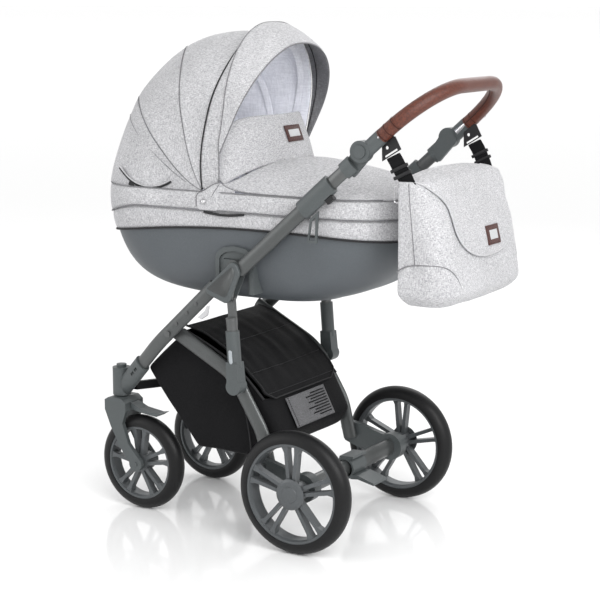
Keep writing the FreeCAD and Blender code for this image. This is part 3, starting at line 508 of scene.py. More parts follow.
def line(name: str, points: Sequence[Vector], radius: float, finish: Enum, slot: Slot,
         body: str, closed: bool = False) -> bpy.types.Object:
    """A thin round trim, such as piping or a seam, along points.

    Args:
        name: The piece's name.
        points: Where it runs.
        radius: Its radius in millimetres.
        finish: Its finish.
        slot: The record's slot that it belongs to; not used.
        body: The body that it rides on.
        closed: Whether it runs back to its start.

    Returns:
        The piece's object.
    """
    curve = bpy.data.curves.new(name, "CURVE")
    curve.dimensions = "3D"
    curve.bevel_depth = radius * MM
    curve.bevel_resolution = 2
    curve.resolution_u = 3
    curve.use_fill_caps = not closed
    spline = curve.splines.new("NURBS")
    spline.points.add(len(points) - 1)
    for knot, point in zip(spline.points, points):
        knot.co = (*point, 1.0)
    spline.order_u = 3
    spline.use_endpoint_u = not closed
    spline.use_cyclic_u = closed
    curve.materials.append(PALETTE.get(finish))
    obj = bpy.data.objects.new(name, curve)
    bpy.context.scene.collection.objects.link(obj)
    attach(obj, body)
    LOG.info("%s: %d points", name, len(points))
    return obj


def stitches(name: str, points: Sequence[Vector], radius: float, finish: Enum, slot: Slot,
             body: str, gap: int = 2) -> bpy.types.Object:
    """A run of separate stitches.

    Args:
        name: The piece's name.
        points: Where the run goes, one stitch between every pair of points.
        radius: The thread's radius in millimetres.
        finish: The thread's finish.
        slot: The record's slot that it belongs to; passed on to settle, which does not use it.
        body: The body that it rides on.
        gap: Every how many points a stitch starts.

    Returns:
        The piece's object.
    """
    bm = bmesh.new()
    for number in range(0, len(points) - 1, gap):
        start, end = points[number], points[number + 1]
        turn = (end - start).to_track_quat("Z", "Y").to_matrix().to_4x4()
        place = Matrix.Translation((start + end) / 2) @ turn
        bmesh.ops.create_cone(bm, cap_ends=True, segments=6, radius1=radius * MM,
                              radius2=radius * MM, depth=(end - start).length, matrix=place)
    return settle(name, bm, [finish], slot, body, rounds=0)


def rounded_block(bm: bmesh.types.BMesh, place: Matrix, size: Sequence[float],
                  bevel: float) -> None:
    """Add a block with rounded edges.

    Args:
        bm: The mesh to add to.
        place: The block's place and turn.
        size: Its three sizes in millimetres.
        bevel: The edges' radius in millimetres.
    """
    scale = Matrix.Diagonal((*(s * MM for s in size), 1.0))
    made = bmesh.ops.create_cube(bm, size=1.0, matrix=place @ scale)
    edges = list({edge for vert in made["verts"] for edge in vert.link_edges})
    bmesh.ops.bevel(bm, geom=edges, offset=bevel * MM, offset_type="OFFSET", affect="EDGES",
                    segments=3, profile=0.5, material=-1)


def facing(place: Vector, across: Vector, up: Vector) -> Matrix:
    """A frame at a place whose X runs across, Y runs up and Z looks out of them."""
    x = across.normalized()
    z = x.cross(up).normalized()
    y = z.cross(x)
    turn = Matrix((x, y, z)).transposed().to_4x4()
    return Matrix.Translation(place) @ turn


def plan_point(share: float, x0: float, x1: float, half: float,
               corner: float) -> tuple[float, float]:
    """A point of a rounded rectangle in plan.

    Args:
        share: Where round the outline, from 0 to 1, from the middle of the +X end.
        x0: The low end in X.
        x1: The high end in X.
        half: Half the width in Y.
        corner: The corners' radius.

    Returns:
        The point's X and Y.
    """
    side, end, arc = x1 - x0 - 2 * corner, 2 * (half - corner), corner * math.pi / 2
    total = 2 * (side + end) + 4 * arc
    way = (share % 1.0) * total
    runs = (end / 2, arc, side, arc, end, arc, side, arc, end / 2)
    number = 0
    while way > runs[number] and number < len(runs) - 1:
        way -= runs[number]
        number += 1
    turn = way / corner
    sin, cos = math.sin(turn) * corner, math.cos(turn) * corner
    points = (
        (x1, way), (x1 - corner + cos, half - corner + sin),
        (x1 - corner - way, half), (x0 + corner - sin, half - corner + cos),
        (x0, half - corner - way), (x0 + corner - cos, -half + corner - sin),
        (x0 + corner + way, -half), (x1 - corner + sin, -half + corner - cos),
        (x1, -half + corner + way),
    )
    if number == 0:
        return x1, way
    if number == 8:
        return x1, -(half - corner) + way
    return points[number]


class Stroller:
    """The CAD nodes in their finishes."""

    def dress(self) -> None:
        """Give every CAD node the finish of its slot."""
        slots = {finish.value.name: finish for finish in Slot}
        for part in frame["record"]["subparts"]:
            node = frame["nodes"][part["node"]]
            material = PALETTE.get(slots[part["material_slot"]])
            for place in node.material_slots:
                place.material = material
            if not node.material_slots:
                node.data.materials.append(material)
        LOG.info("dressed %d nodes", len(frame["nodes"]))


# ---------------------------------------------------------------- hood


@dataclass(frozen=True)
class Rib:
    """A line across the hood: its angles up from the head end, and the crown's radius."""

    foot: float
    shoulder: float
    crown: float
    radius: float

    def angle(self, way: float) -> float:
        """The angle in degrees at a share of the way from the hinge to the crown."""
        low = (1 - way) * (1 - 2 * way)
        middle = 4 * way * (1 - way)
        high = way * (2 * way - 1)
        return self.foot * low + self.shoulder * middle + self.crown * high


@dataclass(frozen=True)
class VisorSeam(Rib):
    """The visor's seam, below which the front cloth's edge stands upright."""

    edge: float = 49.0
    foot_radius: float = 4.0
    span: float = 534.0

    def angle(self, way: float) -> float:
        """The angle in degrees at a share of the way from the hinge to the crown."""
        radius = self.foot_radius + way * self.span
        upright = 180 - math.degrees(math.acos(min(1.0, self.edge / radius)))
        return max(super().angle(way), min(upright, 170.0))


@dataclass(frozen=True)
class Panel:
    """Cloth between two ribs."""

    first: Rib
    second: Rib
    sag: float
    pinch: float


@dataclass
class Hood:
    """The canopy: cloth over bows that turn about one hinge on the carrycot."""

    hinge_x: float = -300.0
    hinge_z: float = 842.0
    half: float = 203.0
    foot_radius: float = 4.0
    wall: float = 5.0
    base: Rib = Rib(-0.5, -0.5, -0.5, 362)
    rear: Rib = Rib(20, 42, 30, 353)
    middle: Rib = Rib(54, 73, 62, 373)
    main: Rib = Rib(78, 98, 95, 380)
    seam: Rib = VisorSeam(121, 105, 101, 406)
    front: Rib = Rib(118.5, 117, 114, 383)

    def panels(self) -> tuple[Panel, Panel, Panel, Panel, Panel]:
        """The canopy's panels from the head end to the visor."""
        return (Panel(self.base, self.rear, 12, 2), Panel(self.rear, self.middle, 2, 5),
                Panel(self.middle, self.main, -1, 4), Panel(self.main, self.seam, 0, 0),
                Panel(self.seam, self.front, -2, -1))

    def corner(self, angle: float) -> float:
        """The radius that rounds the side into the crown at an angle."""
        return mix(165.0, 186.0, ramp(angle, 0.0, 70.0))

    def point(self, panel: Panel, part: float, across: float, lift: float = 0.0) -> Vector:
        """A point of the canopy.

        Args:
            panel: The panel.
            part: The share from its first rib to its second.
            across: From -1 at the left hinge to 1 at the right hinge.
            lift: Millimetres out from the cloth.

        Returns:
            The point in metres.
        """
        way = 1 - abs(across)
        side = -1 if across < 0 else 1
        angle = mix(panel.first.angle(way), panel.second.angle(way), part)
        crown = mix(panel.first.crown, panel.second.crown, part)
        swell = math.sin(math.pi * part)
        radius = mix(panel.first.radius, panel.second.radius, part) - panel.sag * swell + lift
        corner = self.corner(crown)
        half = self.half - panel.pinch * swell * math.sin(math.pi * min(1.0, way * 1.6)) + lift
        rise = radius - corner - self.foot_radius
        arc = corner * math.pi / 2
        way *= rise + arc + half - corner
        if way < rise:
            out, y = self.foot_radius + way, half
        elif way < rise + arc:
            turn = (way - rise) / corner
            out = radius - corner + corner * math.sin(turn)
            y = half - corner + corner * math.cos(turn)
        else:
            out, y = radius, half - corner - (way - rise - arc)
        turn = math.radians(angle)
        return at(self.hinge_x - out * math.cos(turn), side * y,
                  self.hinge_z + out * math.sin(turn))

    def rib_line(self, panel: Panel, part: float, lift: float, start: float = 1.0,
                 count: int = 72) -> list[Vector]:
        """Points along a line of constant part, from side to side."""
        return [self.point(panel, part, mix(-start, start, n / count), lift)
                for n in range(count + 1)]

    def cloth(self, name: str, panel: Panel, cols: int, finishes: Sequence[Enum],
              start: float = 1.0, lift: float = 0.0, body: str = "") -> bpy.types.Object:
        """One panel's cloth, lined inside."""
        inside = at(self.hinge_x, 0, self.hinge_z)
        bm = grid(cols, 84, lambda u, v: self.point(panel, u, mix(-start, start, v), lift),
                  inside, 1.3)
        return settle(name, bm, finishes, Slot.GREY_CLOTH, body, self.wall)

    def build(self) -> None:
        """Make the canopy, the visor and their trims."""
        rear, middle, front, strip, visor = self.panels()
        lined = (Slot.GREY_CLOTH, Slot.LINING)
        crown = {rib: self.hinge_point(rib) for rib in (self.rear, self.middle, self.main)}
        back = self.cloth("hood_rear_cloth", rear, 14, lined, body="carrycot")
        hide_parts("hood_rear_panel")
        mid = self.cloth("hood_middle_cloth", middle, 16, lined)
        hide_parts("hood_mid_panel", "hood_mid_bow")
        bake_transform(mid)
        fore = self.cloth("hood_front_cloth", front, 16, lined)
        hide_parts("hood_front_panel")
        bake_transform(fore)
        edge = self.cloth("hood_strip_cloth", strip, 5, lined, body="hood_front")
        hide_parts("hood_main_bow")
        # The visor's inner face uses the darker lining copy, painted shade under the visor.
        peak = self.cloth("visor_cloth", visor, 10, (Slot.GREY_CLOTH, Trim.SHADED_LINING),
                          0.8, 2.5, "hood_front")
        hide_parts("hood_visor")
        self.trims(rear, middle, front, strip, visor)

    def hinge_point(self, rib: Rib) -> Vector:
        """The crown point of a rib."""
        turn = math.radians(rib.crown)
        return at(self.hinge_x - rib.radius * math.cos(turn), 0,
                  self.hinge_z + rib.radius * math.sin(turn))

    def trims(self, rear: Panel, middle: Panel, front: Panel, strip: Panel,
              visor: Panel) -> None:
        """Seams, piping, hems, inner tapes and the side vents."""
        # seam is the darker seam finish, painted shade for the seam lines, the crease and the
        # hems below.
        seam, cloth = Trim.PAINTED_SEAM_SHADE, Slot.GREY_CLOTH
        line("seam_rear_rib", self.rib_line(rear, 1, 0.0), 0.9, seam, cloth, "carrycot")
        line("seam_rear_crease", self.rib_line(rear, 0.78, 0.0, 0.9), 0.6, seam, cloth,
             "carrycot")
        line("seam_middle_rib", self.rib_line(middle, 1, 0.0), 0.9, seam, cloth, "hood_mid")
        line("piping_main_rib", self.rib_line(front, 1, 0.4), 1.6, Slot.PIPING, Slot.PIPING,
             "hood_front")
        line("seam_visor", self.rib_line(visor, 0, 2.2, 0.8), 0.9, seam, cloth, "hood_front")
        # The visor's hem is drawn in the painted seam shade, a darker line along the visor's
        # edge.
        line("hem_visor", self.rib_line(visor, 1, 0.5, 0.8), 1.7, seam, cloth, "hood_front")
        line("piping_visor_inside", self.rib_line(visor, 0.35, -4.2, 0.78), 1.3, Slot.PIPING,
             Slot.PIPING, "hood_front")
        for label, panel, part, body in (("middle", middle, 1.0, "hood_mid"),
                                         ("main", strip, 0.2, "hood_front"),
                                         ("rear", rear, 0.99, "carrycot")):
            self.tape("tape_" + label, panel, part, body)
        for name, side in SIDES.items():
            self.vent(name, side)
            foot = [self.point(strip, 1, side * mix(1.0, 0.78, n / 10), 0.3)
                    for n in range(11)]
            # The strip's hem is drawn in the painted seam shade.
            line("hem_strip_" + name, foot, 1.4, seam, cloth, "hood_front")

    def tape(self, name: str, panel: Panel, part: float, body: str) -> None:
        """A white tape that holds a bow against the lining."""
        width = 9.0

        def place(u: float, v: float) -> Vector:
            across = mix(-0.97, 0.97, v)
            point = self.point(panel, part, across, -self.wall - 3.0)
            step = self.point(panel, max(part - 0.05, 0), across, -self.wall - 3.0)
            way = (step - point).normalized()
            return point + way * ((u - 0.5) * 2 * width * MM)

        inside = at(self.hinge_x, 0, self.hinge_z)
        settle(name, grid(4, 60, place, inside), [Slot.LINING], Slot.LINING, body, 1.6)

    def vent(self, name: str, side: int) -> None:
        """The zip under a rear side panel, with a hem above it and one tab."""
        arc = ((-556, 884), (-536, 868), (-512, 852), (-486, 842), (-460, 839), (-434, 842),
               (-412, 849), (-393, 859))
        points = [at(x, side * self.vent_y(x), z) for x, z in arc]
        line("vent_zip_" + name, points, 2.6, Slot.PIPING, Slot.PIPING, "carrycot")
        upper = [at(x, side * (self.vent_y(x) + 1.6), z + 5) for x, z in arc]
        line("vent_hem_" + name, upper, 1.6, Trim.HEM, Slot.GREY_CLOTH, "carrycot")
        bm = bmesh.new()
        x, z = arc[2]
        spot = facing(at(x, side * (self.vent_y(x) + 2), z - 5), Vector((1, 0, -0.35)),
                      Vector((0, 0, 1)))
        rounded_block(bm, spot, (16, 9, 1.6), 0.5)
        settle("vent_tab_" + name, bm, [Slot.PIPING], Slot.PIPING, "carrycot", rounds=0)

    def vent_y(self, x: float) -> float:
        """How far out the rear side panel stands at an X near its foot."""
        start = self.hinge_x - self.base.radius + 165.0
        if x > start:
            return self.half + 1.2
        return self.half - 165.0 + math.sqrt(165.0 ** 2 - (x - start) ** 2) + 1.2


# ---------------------------------------------------------------- carrycot


@dataclass
class Carrycot:
    """The soft goods of the carrycot: its padded wall, apron, wind flap and mattress."""

    head: float = -650.0
    foot: float = 216.0
    half: float = 204.0
    corner: float = 165.0
    seam_side: float = 796.0
    top: float = 842.0
    flap_centre: float = -428.0
    flap_radius: float = 278.0
    flap_half: float = 204.0

    def shell_edge(self, x: float) -> float:
        """Height of the hard bowl's edge at an X."""
        steep = 1.61e-4 if x < -150 else 1.04e-4
        return 756.0 - steep * (x + 150) ** 2

    def seam_height(self, x: float) -> float:
        """Height of the seam between the two bands at an X."""
        return self.seam_side - 39.0 * ramp(-x, 480.0, 690.0)

    def wall_point(self, share: float, rise: float, lift: float, low: bool) -> Vector:
        """A point of the padded wall.

        Args:
            share: Where round the plan, from 0 to 1.
            rise: From 0 at the band's lower edge to 1 at its upper edge.
            lift: Millimetres out from the wall.
            low: Whether it is the lower band.

        Returns:
            The point in metres.
        """
        x, _ = plan_point(share, self.head, self.foot + 2, self.half + 2, self.corner)
        edge, seam = self.shell_edge(x) + 1, self.seam_height(x)
        z = mix(edge, seam, rise) if low else mix(seam, self.top, rise)
        head = mix(-9.0, 4.0, ramp(z, 712, 775))
        puff = math.sin(math.pi * rise) * (2.0 if low else 3.0) + lift
        inset = -puff
        x, y = plan_point(share, self.head - head + inset, self.foot + 3 - inset,
                          self.half + 1.5 - inset, self.corner - inset)
        return at(x, y, z)

    def ring(self, rise: float, lift: float, low: bool, count: int = 120) -> list[Vector]:
        """Points round the wall at one rise."""
        return [self.wall_point(n / count, rise, lift, low) for n in range(count)]

    def build(self) -> None:
        """Make the carrycot's soft goods."""
        middle = at(-226, 0, 780)
        low = grid(140, 4, lambda u, v: self.wall_point(u, v, 0, True), middle, 0.8)
        lower = settle("band_lower", low, (Slot.GREY_CLOTH, Slot.LINING), Slot.GREY_CLOTH,
                       "carrycot", 6.0)
        high = grid(140, 5, lambda u, v: self.wall_point(u, v, 3.0, False), middle, 1.2)
        upper = settle("band_upper", high, (Slot.GREY_CLOTH, Slot.LINING), Slot.GREY_CLOTH,
                       "carrycot", 8.0)
        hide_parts("carrycot_fabric")
        line("piping_shell", self.ring(0, 1.2, True), 2.6, Slot.PIPING, Slot.PIPING,
             "carrycot", closed=True)
        # These two seam lines are drawn in the painted seam shade.
        line("seam_bands", self.ring(0, 3.6, False), 1.4, Trim.PAINTED_SEAM_SHADE, Slot.GREY_CLOTH,
             "carrycot", closed=True)
        line("seam_top", self.ring(1, 3.4, False), 1.2, Trim.PAINTED_SEAM_SHADE, Slot.GREY_CLOTH,
             "carrycot", closed=True)
        self.apron()
        self.wind_flap()
        self.mattress()
        for name, side in SIDES.items():
            self.side_trims(name, side)

    def plan_half(self, x: float) -> float:
        """Half the carrycot's width at an X."""
        start = self.foot - self.corner
        if x <= start:
            return self.half
        return self.half - self.corner + math.sqrt(max(0.0, self.corner ** 2
                                                       - (x - start) ** 2))

    def flap_edge(self, y: float) -> float:
        """X of the wind flap's foot at a Y."""
        return self.flap_centre + math.sqrt(self.flap_radius ** 2 - min(abs(y), 206) ** 2)

    def apron_top(self, x: float) -> float:
        """Height of the apron's ridge at an X."""
        back = ramp(x, -150.0, 216.0)
        return mix(915.0, 853.0, back * (0.55 + 0.45 * back))

    def apron_low(self, x: float) -> float:
        """Height of the apron's side edge at an X, which rises to its front corner."""
        return self.top + 2 + 20 * math.exp(-(x + 245) / 28)

    def tab_point(self, u: float, v: float, side: int) -> Vector:
        """A point of the snap tab, which fills the step between the band and the apron."""
        x = mix(-312.0, -205.0, u)
        low = mix(797.0, 838.0, ramp(x, -254.0, -240.0))
        high = self.apron_low(x) + 1.0
        if x < -246:
            high = mix(838.0, 865.0, ramp(x, -312.0, -246.0))
        cut = 8.0 * (1 - ramp(x, -312.0, -303.0)) ** 2
        out = self.half + mix(9.5, 3.5, ramp(x, -262.0, -238.0))
        return at(x, side * out, mix(low + cut, high - cut, v))

    def apron_point(self, u: float, v: float) -> Vector:
        """A point of the apron from its front edge to the foot and from side to side."""
        across = mix(-1.0, 1.0, v)
        side = self.half + 1.5
        front = self.flap_edge(across * side) - 5
        x = mix(front, self.foot - 1, u)
        half = self.plan_half(x) + 1.5
        low = self.apron_low(x)
        crown = self.apron_top(x)
        z = low + (crown - low) * (1 - abs(across) ** 2.8)
        return at(x, across * half, z)

    def apron(self) -> None:
        """The cover over the foot half, sewn to the wall."""
        bm = grid(40, 48, self.apron_point, at(0, 0, 700), 2.2)
        apron = settle("apron_cloth", bm, (Slot.GREY_CLOTH, Slot.LINING), Slot.GREY_CLOTH,
                       "carrycot", 7.0)
        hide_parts("apron")
        for name, side in SIDES.items():
            v = 0.0 if side < 0 else 1.0
            edge = [self.apron_point(n / 40, v) + Vector((0, side * 0.8 * MM, 0))
                    for n in range(37)]
            # The apron's seam is drawn in the painted seam shade.
            line("seam_apron_" + name, edge, 1.3, Trim.PAINTED_SEAM_SHADE, Slot.GREY_CLOTH, "carrycot")

    def flap_point(self, u: float, v: float, lift: float = 0.0) -> Vector:
        """A point of the wind flap from side to side and from its foot to its top."""
        half = self.flap_half - 5.5 * ramp(v, 0.0, 0.3)
        most = math.asin(half / self.flap_radius)
        turn = mix(-most, most, u)
        radius = self.flap_radius + lift + 3.0 * math.sin(math.pi * v)
        y = radius * math.sin(turn)
        share = min(1.0, abs(y) / 206)
        foot = 911 - 51 * share ** 3
        top = 1022 - 74 * share ** 6
        z = mix(foot, top, v)
        curl = 24.0 * ramp(abs(y), 186.0, 199.0) * ramp(v, 0.0, 0.2)
        lean = 0.38 * (z - foot) + curl
        return at(self.flap_centre + radius * math.cos(turn) - lean, y, z)

    def wind_flap(self) -> None:
        """The panel that stands up at the apron's front edge, with its badge."""
        bm = grid(48, 14, self.flap_point, at(self.flap_centre, 0, 900), 1.6)
        flap = settle("wind_flap_cloth", bm, (Slot.GREY_CLOTH, Slot.GREY_CLOTH),
                      Slot.GREY_CLOTH, "carrycot", 8.0)
        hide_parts("wind_flap")
        Badge("flap_badge", 72, 42, 50, 18).build(self.flap_point(0.515, 0.56, 1.0),
                                                  self.flap_point(0.53, 0.56)
                                                  - self.flap_point(0.50, 0.56),
                                                  self.flap_point(0.515, 0.62)
                                                  - self.flap_point(0.515, 0.5), "carrycot")

    def mattress(self) -> None:
        """The flat mattress, rounded by its own filling."""
        low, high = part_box("mattress")
        middle = (low + high) / 2
        size = high - low

        def place(u: float, v: float) -> Vector:
            level = math.sin((v - 0.5) * math.pi)
            inset = 1 - math.cos((v - 0.5) * math.pi)
            bulk = size.z * 420
            x, y = plan_point(u, -size.x / 2 / MM + inset * bulk * 0.4 + 3,
                              size.x / 2 / MM - inset * bulk * 0.4 - 3,
                              size.y / 2 / MM - inset * bulk * 0.4 - 3, 105 - inset * 4)
            return middle + Vector((x, y, level * bulk)) * MM

        bm = grid(96, 8, place, middle)
        rims = [edge for edge in bm.edges if edge.is_boundary]
        bmesh.ops.holes_fill(bm, edges=rims, sides=0)
        for face in [f for f in bm.faces if len(f.verts) > 4]:
            bmesh.ops.inset_region(bm, faces=[face], thickness=0.06,
                                   depth=0.002 if face.normal.z > 0 else 0)
        bmesh.ops.recalc_face_normals(bm, faces=bm.faces)
        pad = settle("mattress_pad", bm, [Slot.LINING], Slot.LINING, "carrycot")
        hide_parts("mattress")

    def side_trims(self, name: str, side: int) -> None:
        """The snap tab in front of the apron, and the elastic under the skirt."""
        y = side * (self.half + 12.0)
        tab = grid(30, 8, lambda u, v: self.tab_point(u, v, side), at(-270, 0, 820))
        settle("snap_tab_" + name, tab, [Slot.GREY_CLOTH], Slot.GREY_CLOTH, "carrycot", 2.2)
        edge = [self.tab_point(0.0, n / 6, side) for n in range(7)]
        edge += [self.tab_point(n / 24, 1.0, side) for n in range(1, 16)]
        # The tab's seam and the dart fold are drawn in the painted seam shade.
        line("seam_tab_" + name, edge, 1.2, Trim.PAINTED_SEAM_SHADE, Slot.GREY_CLOTH, "carrycot")
        fold = ((-244, 862), (-257, 848), (-268, 830))
        line("seam_dart_" + name, [at(x, y - side * 2.6, z) for x, z in fold], 0.8,
             Trim.PAINTED_SEAM_SHADE, Slot.GREY_CLOTH, "carrycot")
        bm = bmesh.new()
        turn = Matrix.Rotation(math.pi / 2, 4, "X")
        bmesh.ops.create_uvsphere(bm, u_segments=24, v_segments=12, radius=5.2 * MM,
                                  matrix=Matrix.Translation(at(-291, y + side * 0.5, 818))
                                  @ turn @ Matrix.Diagonal((1, 1, 0.55, 1)))
        bmesh.ops.create_cone(bm, cap_ends=True, segments=32, radius1=7 * MM, radius2=6.4 * MM,
                              depth=1.6 * MM,
                              matrix=Matrix.Translation(at(-291, y, 818)) @ turn)
        settle("snap_" + name, bm, [Slot.STEEL], Slot.STEEL, "carrycot", rounds=0)
        elastic = [at(mix(-292, -178, n / 12), y - side * 6.2,
                      793 - 5 * math.sin(math.pi * n / 12)) for n in range(13)]
        line("skirt_elastic_" + name, elastic, 3.2, Slot.PIPING, Slot.PIPING, "carrycot")


@dataclass
class Badge:
    """A blank metal plate on a leather patch."""

    name: str
    width: float
    height: float
    plate_width: float
    plate_height: float

    def build(self, place: Vector, across: Vector, up: Vector, body: str) -> None:
        """Make the patch, its stitches and the plate."""
        spot = facing(place, across, up)
        bm = bmesh.new()
        rounded_block(bm, spot, (self.width, self.height, 3.0), 1.0)
        settle(self.name, bm, [Trim.BADGE], Slot.LEATHER, body, rounds=0)
        bm = bmesh.new()
        inner = spot @ Matrix.Translation((0, 0, 1.7 * MM))
        rounded_block(bm, inner, (self.plate_width, self.plate_height, 1.6), 0.6)
        settle(self.name + "_plate", bm, [Trim.PLATE], Slot.STEEL, body, rounds=0)
        w, h = self.width / 2 - 3.0, self.height / 2 - 3.0
        corners = ((-w, -h), (w, -h), (w, h), (-w, h), (-w, -h))
        points = []
        for (x0, y0), (x1, y1) in zip(corners, corners[1:]):
            count = max(2, int((abs(x1 - x0) + abs(y1 - y0)) / 1.8))
            points += [spot @ (Vector((mix(x0, x1, n / count), mix(y0, y1, n / count), 1.7))
                               * MM) for n in range(count)]
        stitches(self.name + "_stitches", points, 0.35, Trim.LEATHER_THREAD, Slot.LEATHER,
                 body)


# ---------------------------------------------------------------- bag


@dataclass
class Bag:
    """The hanging bag: a sagging cloth shell, its flap, straps and rings."""

    back: float = 236.0
    half: float = 213.0
    base: float = 612.0
    top: float = 896.0
    corner: float = 58.0

    def depth(self, z: float) -> float:
        """How far the front stands from the back, at a height."""
        share = min(1.0, max(0.0, (z - self.base) / (self.top - self.base)))
        return 136.0 - 66.0 * share ** 1.9

    def reach(self, y: float, z: float, half: float) -> float:
        """How far the rounded front stands from the back at a Y and a height."""
        turn = max(0.0, abs(y) - half + self.corner)
        dip = self.corner - math.sqrt(max(0.0, self.corner ** 2 - turn ** 2))
        return self.depth(z) + 4.0 * (1 - (y / half) ** 2) - dip - 4.0

    def front_point(self, y: float, z: float, lift: float = 0.0) -> Vector:
        """A point of the bag's curved front."""
        return at(self.back + self.reach(y, z, self.half) + lift, y, z)

    def shell_point(self, u: float, v: float) -> Vector:
        """A point round the bag and up it."""
        z = mix(self.base, self.top, v ** 1.15)
        drop = max(0.0, 1 - (z - self.base) / 34.0)
        inset = 26.0 * drop ** 2
        wide = self.half - inset
        side = max(6.0, self.depth(z) - self.corner - 4.0)
        back_run, side_run, front_run = 2 * wide, side, 2 * wide * 1.12
        total = back_run + 2 * side_run + front_run
        way = u * total
        if way < back_run:
            y, x = -wide + way, 0.0
            x -= 3.0 * math.sin(math.pi * way / back_run)
        elif way < back_run + side_run:
            y, x = wide, way - back_run
        elif way < back_run + side_run + front_run:
            part = (way - back_run - side_run) / front_run
            y = wide * math.cos(math.pi * mix(part, (1 - math.cos(math.pi * part)) / 2, -0.45))
            x = self.reach(y, z, wide)
        else:
            y, x = -wide, side - (way - back_run - side_run - front_run)
        x = mix(x, 48.0, 0.42 * drop ** 2)
        edge = abs(y) / self.half
        z += 6.0 * (1 - edge ** 2) * ramp(v, 0.9, 1.0)
        z -= 7.0 * (1 - edge ** 2) * (1 - ramp(v, 0.0, 0.2))
        return at(self.back + x, y, z)

    def build(self) -> None:
        """Make the bag and everything on it."""
        inside = at(self.back + 40, 0, 740)
        bm = grid(128, 36, self.shell_point, inside, 2.0)
        low = min(vert.co.z for vert in bm.verts) + 0.012
        rim = [e for e in bm.edges if e.is_boundary and max(p.co.z for p in e.verts) < low]
        bmesh.ops.edgeloop_fill(bm, edges=rim)
        for face in [f for f in bm.faces if len(f.verts) > 4]:
            bmesh.ops.inset_region(bm, faces=[face], thickness=0.02, depth=0.0)
        bag = settle("bag_shell", bm, (Slot.GREY_CLOTH, Slot.LINING), Slot.GREY_CLOTH, "bag",
                     3.0)
        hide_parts("bag")
        self.flap()
        for name, side in SIDES.items():
            self.strap(name, side)
            self.side_seams(name, side)

    def flap_half(self, run: float) -> float:
        """Half the flap's width at a share of its length."""
        if run < 0.62:
            return 204.0 - 54.0 * ramp(run, 0.12, 0.5)
        low = (run - 0.62) / 0.38
        return 150.0 * math.sqrt(max(0.0, 1 - low ** 2.6)) + 0.5

    def flap_point(self, u: float, v: float, lift: float = 0.0) -> Vector:
        """A point of the flap from its hinge over the top and down the front."""
        across = mix(-1.0, 1.0, v)
        y = across * self.flap_half(u) + 8.0 * ramp(u, 0.3, 0.9)
        arch = 16.0 * (1 - (y / self.half) ** 2)
        if u < 0.2:
            turn = u / 0.2 * math.pi / 2
            reach = self.depth(self.top) + 5.0
            x = self.back + 2 + reach * math.sin(turn) * (0.85 + 0.15 * math.sin(turn))
            fold = self.reach(y, self.top, self.half) + 5.0
            x = self.back + 2 + (x - self.back - 2) * fold / reach
            return at(x + lift, y, self.top - 12 + (15 + arch) * (0.4 + 0.6 * math.cos(turn)))
        z = mix(self.top - 6 + arch * 0.4, self.top - 184, ((u - 0.2) / 0.8) ** 1.03)
        return self.front_point(y, z, 6.0 + lift)

    def flap(self) -> None:
        """The flap, its hem and its badge."""
        bm = grid(44, 40, self.flap_point, at(self.back + 20, 0, 740), 1.4)
        flap = settle("bag_flap_cloth", bm, (Slot.GREY_CLOTH, Slot.LINING), Slot.GREY_CLOTH,
                      "bag_flap", 4.0)
        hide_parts("bag_flap")
        edge = [self.flap_point(mix(0.02, 0.999, n / 40), 0.0, -1.0) for n in range(41)]
        edge += [self.flap_point(mix(0.999, 0.02, n / 40), 1.0, -1.0) for n in range(1, 41)]
        line("bag_flap_hem", edge, 2.4, Trim.HEM, Slot.GREY_CLOTH, "bag_flap")
        y, z = 30.0, 757.0
        across = self.front_point(y + 10, z) - self.front_point(y - 10, z)
        up = self.front_point(y, z + 10) - self.front_point(y, z - 10)
        Badge("bag_badge", 66, 46, 40, 22).build(self.front_point(y, z, 8.0), across, up,
                                                 "bag_flap")

    def strap(self, name: str, side: int) -> None:
        """Webbing from a hook down into the bag, with its buckle and ring."""
        y = side * 213.0
        run = ((223, 953), (233, 938), (243, 920), (253, 902), (262, 882))

        def place(u: float, v: float) -> Vector:
            number = min(int(u * 4), 3)
            part = u * 4 - number
            x = mix(run[number][0], run[number + 1][0], part)
            z = mix(run[number][1], run[number + 1][1], part)
            slope = Vector((1.0, 0, 0.5)).normalized()
            inward = side * 7.0 * ramp(u, 0.3, 1.0)
            return at(x, y - inward, z) + slope * ((v - 0.5) * 38 * MM)

        web = grid(20, 6, place, at(240, 0, 900))
        strap = settle("strap_web_" + name, web, [Slot.BLACK_CLOTH], Slot.BLACK_CLOTH,
                       "bag_straps", 2.2)
        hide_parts("bag_straps")
        slide = bmesh.new()
        for x, z in ((239, 926), (247, 911)):
            spot = facing(at(x, y - side * 1.5, z), Vector((1.0, 0, 0.5)),
                          Vector((-0.5, 0, 1.0)))
            rounded_block(slide, spot, (46, 8, 8), 1.6)
        settle("strap_buckle_" + name, slide, [Slot.BLACK_PLASTIC], Slot.BLACK_PLASTIC,
               "bag_straps", rounds=0)
        ring = facing(at(self.back - 3, side * (self.half - 6), 866), Vector((0.9, 0.25, 0)),
                      Vector((0, 0, 1)))
        self.frame_ring("bag_ring_" + name, ring, 15, 38, 1.6, "bag")

    def frame_ring(self, name: str, place: Matrix, width: float, height: float,
                   radius: float, body: str) -> None:
        """A rounded rectangular wire ring."""
        corner = min(width, height) * 0.3
        points = [place @ (Vector((*plan_point(n / 40, -width / 2, width / 2, height / 2,
                                               corner), 0)) * MM) for n in range(40)]
        line(name, points, radius, Slot.STEEL, Slot.STEEL, body, closed=True)

    def outline_point(self, side: int, way: float, z: float) -> Vector:
        """A point of the bag's skin, way millimetres round from its back edge."""
        flat = max(6.0, self.depth(z) - self.corner - 4.0)
        arc = self.corner * math.pi / 2
        turn = min(max(0.0, way - flat), arc) / self.corner
        x = min(way, flat) + self.corner * math.sin(turn)
        y = self.half - self.corner * (1 - math.cos(turn)) - max(0.0, way - flat - arc)
        return at(self.back + x + 0.6 * math.sin(turn), side * (y + 0.6), z)

